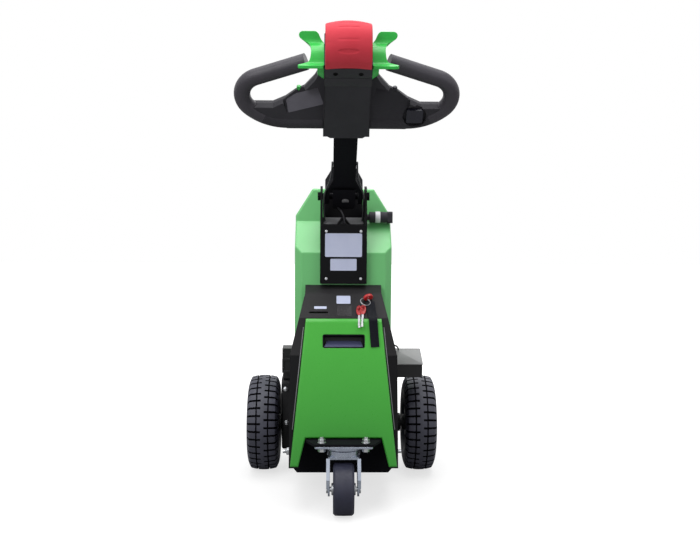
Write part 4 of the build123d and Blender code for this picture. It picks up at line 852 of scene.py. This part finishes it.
# Castor: a pressed swivel fork and top plate in bright zinc, bolted under the rear bracket, with a
# solid grey-blue rubber wheel on an aluminium core.
fork_zinc = coating(
    "zinc_plated_pressing", "#8A93A6", "#C9D0DC", 30, 2.5, 0.012, 0.24, edge=1.4, Metallic=0.95
)
dress(fork_zinc, "castor_fork", "castor_plate")
dress(zinc, "castor_bolts", "castor_axle", "jaw_bolts")
castor_rubber = coating("elastic_rubber", "#20212F", "#2B2C3F", 25, 2.5, 0.06, 0.5, Specular_IOR_Level=0.4)
dress(castor_rubber, "castor_tyre")
core = coating("die_cast_aluminium", "#8A8C90", "#A6A8AB", 15, 2, 0.05, 0.42, Metallic=0.85)
dress(core, "castor_core")

# Tiller head: a two-part ABS housing on the arm with wings that flow into looped grips, green thumb
# paddles and a red cap over a black lip, held by small screws. A grey sheet on the left wing's facet
# paints the light that falls on it. Two clips and a steel tongue sit on the arm, with a grey gland at the
# pivot.
dress(abs_black, "head_housing", "head_cover")
rocker_black = coating("blue_black_polyamide", "#161622", "#20202F", 12, 2, 0.04, 0.45, edge=1.2)
dress(rocker_black, "wing_switch_right")
# Soft-touch elastomer: dark grey, with a broad dull shine.
grip_foam = coating("soft_touch_elastomer", "#353339", "#423F47", 40, 2.5, 0.05, 0.5, Specular_IOR_Level=0.4)
dress(grip_foam, "grip_left", "grip_right")
belly_red = coating("red_abs", "#CD3A47", "#D84754", 30, 2.2, 0.03, 0.55, Specular_IOR_Level=0.12)
paddle_green = coating("green_abs", "#2FBE48", "#3BCB56", 20, 2, 0.03, 0.34, edge=1.5)
dress(paddle_green, "wing_switch_left")
tilt = math.radians(30)
pivot = next(Vector(j["pos_m"]) for j in frame["joints"] if j["name"] == "tiller_tilt")
along = Vector((0, -math.cos(tilt), math.sin(tilt)))
above = Vector((0, math.sin(tilt), math.cos(tilt)))


def on_tiller(x, u, w):
    """A point x across, u along and w above the tiller's line from its pivot, in mm."""
    return pivot + right * x * MM + along * u * MM + above * w * MM


button_half = 46.8
button_centre = 625
creases = ((28, 1.0), (10, 1.0), (-24.5, 0.7))


def cap_radius(x, turn):
    """The red cap's radius at x across and a turn in degrees from the tiller's line, in mm: it falls off
    to the sides and has three creases and an embossed oval in the middle."""
    crown = 47.6 - 6.5 * (x / button_half) ** 2 * min(1.0, max(0.08, (turn + 88) / 55))
    fade = min(1.0, max(0.0, 3 - 3 * (x / 23) ** 2))
    crease = sum(deep * math.exp(-(((turn - at) / 2.2) ** 2)) for at, deep in creases)
    oval = min(1.0, max(0.0, 4 - 4 * (x / 21) ** 2 - 4 * ((turn + 53) / 6) ** 2))
    return crown - fade * crease - 1.4 * oval


cap_rows = [-180, -150, -120] + [-90 + 1.5 * k for k in range(121)] + [120, 150, 180]
bpy.ops.object.select_all(action="DESELECT")
bpy.ops.mesh.primitive_grid_add(x_subdivisions=48, y_subdivisions=len(cap_rows) - 1, size=1)
cap = named("belly_cap")
for point in cap.data.vertices:
    x = point.co.x * 2 * button_half
    turn = cap_rows[round((point.co.y + 0.5) * (len(cap_rows) - 1))]
    bent = math.radians(max(-90, min(90, turn)))
    radius = cap_radius(x, math.degrees(bent))
    hollow = 21 - 6 * (1 - (x / 49) ** 2)
    straight = max(0, abs(turn) - 90) / 90 * hollow
    point.co = on_tiller(x, button_centre + radius * math.cos(bent) - straight, radius * math.sin(bent))
pick_edges(cap, lambda a, b: a.x > (button_half - 0.1) * MM and b.x > (button_half - 0.1) * MM)
bpy.ops.mesh.edge_face_add()
pick_edges(cap, lambda a, b: a.x < (0.1 - button_half) * MM and b.x < (0.1 - button_half) * MM)
bpy.ops.mesh.edge_face_add()
only(cap)
bpy.ops.object.mode_set(mode="EDIT")
bpy.ops.mesh.select_mode(type="EDGE")
bpy.ops.mesh.select_all(action="DESELECT")
bpy.ops.mesh.select_non_manifold()
bpy.ops.mesh.edge_face_add()
bpy.ops.mesh.select_all(action="SELECT")
bpy.ops.mesh.normals_make_consistent(inside=False)
only(cap)
round_edges(cap, 2.5, 3, 55)
finish_piece(cap, "tiller", belly_red, 40)
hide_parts("belly_button")
lip_black = coating(
    "black_abs_satin", "#343437", "#3F3F43", 50, 2.2, 0.05, 0.5, edge=0.8, Specular_IOR_Level=0.15
)
for name, from_u, to_u, thick in (("button_lip", 577, 608, 1.6), ("seam_band", 547, 575.4, 1.0)):
    lip = slab(name, 96.5, to_u - from_u, thick, thick / 2)
    pick_edges(lip, lambda a, b: abs(a.z - b.z) > 0.5 * MM)
    bpy.ops.mesh.bevel(offset=3 * MM, segments=4, affect="EDGES")
    pick_edges(lip, lambda a, b: a.z > 0.9 * MM and b.z > 0.9 * MM)
    bpy.ops.mesh.bevel(offset=0.4 * MM, segments=2, affect="EDGES")
    seat(lip, on_tiller(0, (from_u + to_u) / 2, -45), right, -above)
    finish_piece(lip, "tiller", lip_black, 25)
screw_black = coating("black_oxide_steel", "#030303", "#080809", 8, 2, 0.03, 0.55, Specular_IOR_Level=0.1)
head_screw = screw_head("head_screw_master", 5, 1.2)
for i, x in enumerate((-26, 26)):
    place = on_tiller(x, 590, -46.4)
    copy_piece(head_screw, f"head_screw_{i}", place, right, -above, "tiller", screw_black)
paddle_u = 570
paddle_rows = (
    # angle and distance from the paddle's axis, and its inner and outer reach from the head's side
    (-48, 60, 2, 44),
    (-48, 58.5, 1, 50),
    (-48, 55, 0, 53),
    (-48, 50, 0, 52.5),
    (-48, 45, 0, 49),
    (-47, 40, 0, 42),
    (-44, 36, 0, 35),
    (-38, 34, 0, 30.5),
    (-26, 33.5, 0, 28),
    (-13, 33.5, 0, 27),
    (0, 33.5, 0, 26.5),
    (13, 33.5, 0, 27),
    (26, 33.5, 0, 28),
    (37, 34, 0, 30),
    (44, 36, 1, 34),
    (47, 40, 4, 40.5),
    (48, 44, 6.5, 47),
    (48, 48, 8.5, 50.5),
    (48, 52, 10, 52),
    (48, 56, 12, 51.5),
    (48, 59, 15, 49),
    (48, 60.5, 18, 45),
)
for side, hand in (("left", -1), ("right", 1)):
    bpy.ops.object.select_all(action="DESELECT")
    bpy.ops.mesh.primitive_grid_add(x_subdivisions=12, y_subdivisions=len(paddle_rows) - 1, size=1)
    paddle = named(f"paddle_{side}")
    for point in paddle.data.vertices:
        angle, reach, inner, outer = paddle_rows[round((point.co.y + 0.5) * (len(paddle_rows) - 1))]
        x = 49 + inner + (outer - inner) * (point.co.x + 0.5)
        turn = math.radians(angle)
        point.co = on_tiller(hand * x, paddle_u + reach * math.cos(turn), reach * math.sin(turn))
    only(paddle)
    bpy.ops.object.modifier_add(type="SUBSURF")
    paddle.modifiers[-1].levels = 2
    bpy.ops.object.modifier_apply(modifier=paddle.modifiers[-1].name)
    bpy.ops.object.modifier_add(type="SOLIDIFY")
    paddle.modifiers[-1].thickness = 6 * MM
    paddle.modifiers[-1].offset = 0
    bpy.ops.object.modifier_apply(modifier=paddle.modifiers[-1].name)
    round_edges(paddle, 1.6, 3, 50)
    bpy.ops.object.mode_set(mode="EDIT")
    bpy.ops.mesh.select_all(action="SELECT")
    bpy.ops.mesh.normals_make_consistent(inside=False)
    bpy.ops.mesh.select_all(action="DESELECT")
    bpy.ops.mesh.primitive_cone_add(
        vertices=64,
        radius1=36.5 * MM,
        radius2=27 * MM,
        depth=14 * MM,
        location=on_tiller(hand * 56.2, paddle_u, 0),
        rotation=(0, hand * math.pi / 2, 0),
    )
    bpy.ops.mesh.bevel(offset=1.5 * MM, segments=3, affect="EDGES")
    finish_piece(paddle, "tiller", paddle_green, 40)
    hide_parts(f"thumb_paddle_{side}")
loop_lean = math.radians(19.65)
loop_way = along * math.cos(loop_lean) + above * math.sin(loop_lean)
loop_under = along * math.sin(loop_lean) - above * math.cos(loop_lean)
loop_origin = on_tiller(0, 383, -20)
wing_screw = screw_head("wing_screw_master", 2.3, 1.5)
for side, hand in (("left", -1), ("right", 1)):
    place = loop_origin + right * hand * 109 * MM + loop_under * 10 * MM
    copy_piece(wing_screw, f"wing_screw_{side}", place, right, loop_under, "tiller", screw_black)
for spent in (head_screw, wing_screw):
    bpy.data.objects.remove(spent)
# Painted light: a thin grey sheet on the left wing's facet stands for the light that falls on that facet;
# the right wing has none.
facet_run = (right * 80 + loop_way * 24).normalized()
facet_rise = (loop_way * 80 - right * 24).normalized()
facet_slope = (facet_rise * 46 - loop_under * 18).normalized()
facet_normal = facet_run.cross(facet_slope)
facet_origin = loop_origin - right * 130 * MM + loop_way * 28 * MM + loop_under * 14 * MM
facet_corners = ((3, 1), (83, 1), (84, 44), (52, 38.5), (30, 38.5), (6, 30))
bpy.ops.object.select_all(action="DESELECT")
bpy.ops.mesh.primitive_circle_add(vertices=len(facet_corners), radius=1, fill_type="NGON")
facet_sheet = named("left_facet_light_sheet")
for point, (run_at, rise_at) in zip(facet_sheet.data.vertices, facet_corners):
    point.co = (run_at * MM, rise_at * MM, 0)
pick_faces(facet_sheet, lambda at, way: True)
bpy.ops.mesh.normals_make_consistent(inside=False)
bpy.ops.mesh.extrude_region_move(TRANSFORM_OT_translate={"value": (0, 0, 0.9 * MM)})
pick_edges(facet_sheet, lambda a, b: abs(a.z - b.z) > 0.5 * MM)
bpy.ops.mesh.bevel(offset=3 * MM, segments=4, affect="EDGES")
pick_edges(facet_sheet, lambda a, b: a.z > 0.8 * MM and b.z > 0.8 * MM)
bpy.ops.mesh.bevel(offset=0.4 * MM, segments=2, affect="EDGES")
bpy.ops.mesh.select_all(action="SELECT")
bpy.ops.mesh.normals_make_consistent(inside=False)
seat(facet_sheet, facet_origin, facet_run, facet_normal)
facet_lit_grey = coating("painted_light_left_facet", "#58565F", "#66646E", 30, 2.2, 0.04, 0.42)
finish_piece(facet_sheet, "tiller", facet_lit_grey, 25)
for side, hand in (("left", -1), ("right", 1)):
    clip = slab(f"arm_clip_{side}", 9, 8, 7)
    pick_faces(clip, lambda at, way: way.z > 0.9)
    bpy.ops.transform.resize(value=(0.55, 0.6, 1))
    pick_edges(clip, lambda a, b: a.z > 0 and b.z > 0)
    bpy.ops.mesh.bevel(offset=0.8 * MM, segments=3, affect="EDGES")
    seat(clip, on_tiller(hand * 31, 322, -8), along, right * hand)
    finish_piece(clip, "tiller", abs_black)

tongue = slab("arm_tongue", 57, 96, 3)
pick_edges(tongue, lambda a, b: abs(a.z - b.z) > 1 * MM and a.y < 0)
bpy.ops.mesh.bevel(offset=8 * MM, segments=5, affect="EDGES")
pick_edges(tongue, lambda a, b: a.z > 1 * MM and b.z > 1 * MM)
bpy.ops.mesh.bevel(offset=0.8 * MM, segments=3, affect="EDGES")
seat(tongue, on_tiller(0, 32, -27), right, -above)
finish_piece(tongue, "tiller", bracket_coat, 25)
gland_grey = coating("grey_nylon_gland", "#5E5E60", "#707072", 10, 2, 0.04, 0.45)
bpy.ops.object.select_all(action="DESELECT")
bpy.ops.mesh.primitive_cylinder_add(vertices=40, radius=9 * MM, depth=5 * MM)
gland = named("cable_gland")
pick_faces(gland, lambda at, way: True)
bpy.ops.mesh.bisect(plane_co=(0, -1 * MM, 0), plane_no=(0, 1, 0), use_fill=True, clear_inner=True)
pick_edges(gland, lambda a, b: a.z > 2 * MM and b.z > 2 * MM)
bpy.ops.mesh.bevel(offset=1 * MM, segments=3, affect="EDGES")
seat(gland, on_tiller(3.8, 29, -30.8), right, -above)
finish_piece(gland, "tiller", gland_grey, 30)

# Tiller cables: two thin black leads down the arm's sides and one in the middle that drops through
# the bracket's shelf. They bend round the pivot.
cable_routes = {
    "cable_left": [(-30, 190, -12), (-30.5, 150, -16), (-36, 110, -20), (-46, 70, -22), (-50.5, 36, -22)],
    "cable_right": [(30, 190, -12), (30.5, 150, -16), (36, 110, -20), (46, 70, -22), (50.5, 36, -22)],
    "cable_middle": [(-18, 36, -19), (-18, 10, -21), (-15, -14, -26)],
}
cable_ends = {
    "cable_left": [(-50.5, -168, 735), (-50.5, -164, 715), (-48, -158, 694)],
    "cable_right": [(50.5, -168, 735), (50.5, -164, 715), (48, -158, 694)],
    "cable_middle": [(-6, -172, 722), (1, -170, 704), (3, -168, 688)],
}
lead_radius = 2.2
lead_pvc = coating("grey_black_pvc", "#2A2A2E", "#37373C", 20, 2, 0.03, 0.32)
for name, knots in cable_routes.items():
    line = [on_tiller(*k) for k in knots]
    line += [Vector((x * MM, axle_y + y * MM, z * MM)) for x, y, z in cable_ends[name]]
    lead = path_through(line, 10)
    lead.name = name
    lead.data.bevel_depth = lead_radius * MM
    lead.data.bevel_resolution = 3
    lead.data.use_fill_caps = True
    bpy.ops.object.convert(target="MESH")
    lead = bpy.context.object
    lead.data.name = name
    bpy.ops.object.shade_smooth_by_angle(angle=math.radians(60))
    lead.data.materials.clear()
    lead.data.materials.append(lead_pvc)
    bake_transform(lead)

# Studio: a plain pale floor, a wide softbox overhead, a key from the operator's left, a weak fill and a
# back light, with a white surround that the paint can mirror.
bpy.ops.object.select_all(action="DESELECT")
bpy.ops.mesh.primitive_plane_add(size=14)
floor = named("studio_floor")
floor_paint = bpy.data.materials.new("matt_white_floor")
floor_paint.use_nodes = True
floor_skin = floor_paint.node_tree.nodes["Principled BSDF"]
floor_at = put(floor_paint, "ShaderNodeTexCoord", {}, {}).outputs["Object"]
floor_drift = put(floor_paint, "ShaderNodeTexNoise", {}, {"Vector": floor_at, "Scale": 2.0, "Detail": 3.0})
floor_tone = put(
    floor_paint,
    "ShaderNodeMix",
    {"data_type": "RGBA"},
    {0: floor_drift.outputs["Fac"], 6: linear("#A2A2A2"), 7: linear("#A8A8A8")},
)
floor_paint.node_tree.links.new(floor_tone.outputs[2], floor_skin.inputs["Base Color"])
floor_skin.inputs["Roughness"].default_value = 0.9
floor_skin.inputs["Specular IOR Level"].default_value = 0.1
floor_skin.inputs["Emission Color"].default_value = (1, 1, 1, 1)
floor_ray = put(floor_paint, "ShaderNodeLightPath", {}, {})
floor_reach = put(floor_paint, "ShaderNodeVectorMath", {"operation": "LENGTH"}, {0: floor_at})
floor_white = put(
    floor_paint,
    "ShaderNodeMapRange",
    {"interpolation_type": "SMOOTHSTEP"},
    {"Value": floor_reach.outputs["Value"], 1: 0.55, 2: 1.5, 3: 0.7, 4: 1.1},
)
floor_glow = put(
    floor_paint,
    "ShaderNodeMath",
    {"operation": "MULTIPLY"},
    {0: floor_white.outputs["Result"], 1: floor_ray.outputs["Is Camera Ray"]},
)
floor_paint.node_tree.links.new(floor_glow.outputs[0], floor_skin.inputs["Emission Strength"])
floor.data.materials.append(floor_paint)

world = bpy.data.worlds.new("white_studio")
bpy.context.scene.world = world
world.use_nodes = True
surround = world.node_tree.nodes["Background"]
surround.inputs["Color"].default_value = (1, 1, 1, 1)
seen = put(world, "ShaderNodeLightPath", {}, {})
bright = put(
    world,
    "ShaderNodeMath",
    {"operation": "MAXIMUM"},
    {0: seen.outputs["Is Camera Ray"], 1: seen.outputs["Is Glossy Ray"]},
)
clear = put(
    world,
    "ShaderNodeMath",
    {"operation": "MAXIMUM"},
    {0: bright.outputs[0], 1: seen.outputs["Is Transmission Ray"]},
)
level = put(world, "ShaderNodeMapRange", {}, {"Value": clear.outputs[0], 3: 0.36, 4: 1.0})
world.node_tree.links.new(level.outputs["Result"], surround.inputs["Strength"])

lamps = (
    ("overhead", (0.0, -0.3, 3.2), (0, 0.1, 0.4), 2.6, 72),
    ("key", (-1.7, -2.4, 2.5), (0, 0, 0.55), 1.6, 44),
    ("fill", (2.4, -2.0, 1.4), (0, 0, 0.4), 1.8, 9),
    ("back", (0.8, 2.6, 1.9), (0, 0, 0.5), 1.8, 16),
)
for name, place, target, size, power in lamps:
    bpy.ops.object.light_add(type="AREA", location=place)
    lamp = bpy.context.object
    lamp.name = name
    lamp.data.size = size
    lamp.data.energy = power
    lamp.rotation_euler = (Vector(target) - Vector(place)).to_track_quat("-Z", "Y").to_euler()

camera_side = -0.04
camera_back = 2.734
camera_height = 0.8
sensor = 36
bpy.ops.object.camera_add(
    location=(camera_side, axle_y - camera_back, camera_height),
    rotation=(math.radians(85), 0, math.radians(-1.28)),
)
camera = bpy.context.object
roll = Matrix.Rotation(math.radians(0.36), 3, "Z")
camera.rotation_euler = (camera.rotation_euler.to_matrix() @ roll).to_euler()
camera.data.sensor_width = sensor
camera.data.lens = sensor * 1000 / 700
bpy.context.scene.camera = camera
bpy.context.scene.view_settings.view_transform = "Standard"
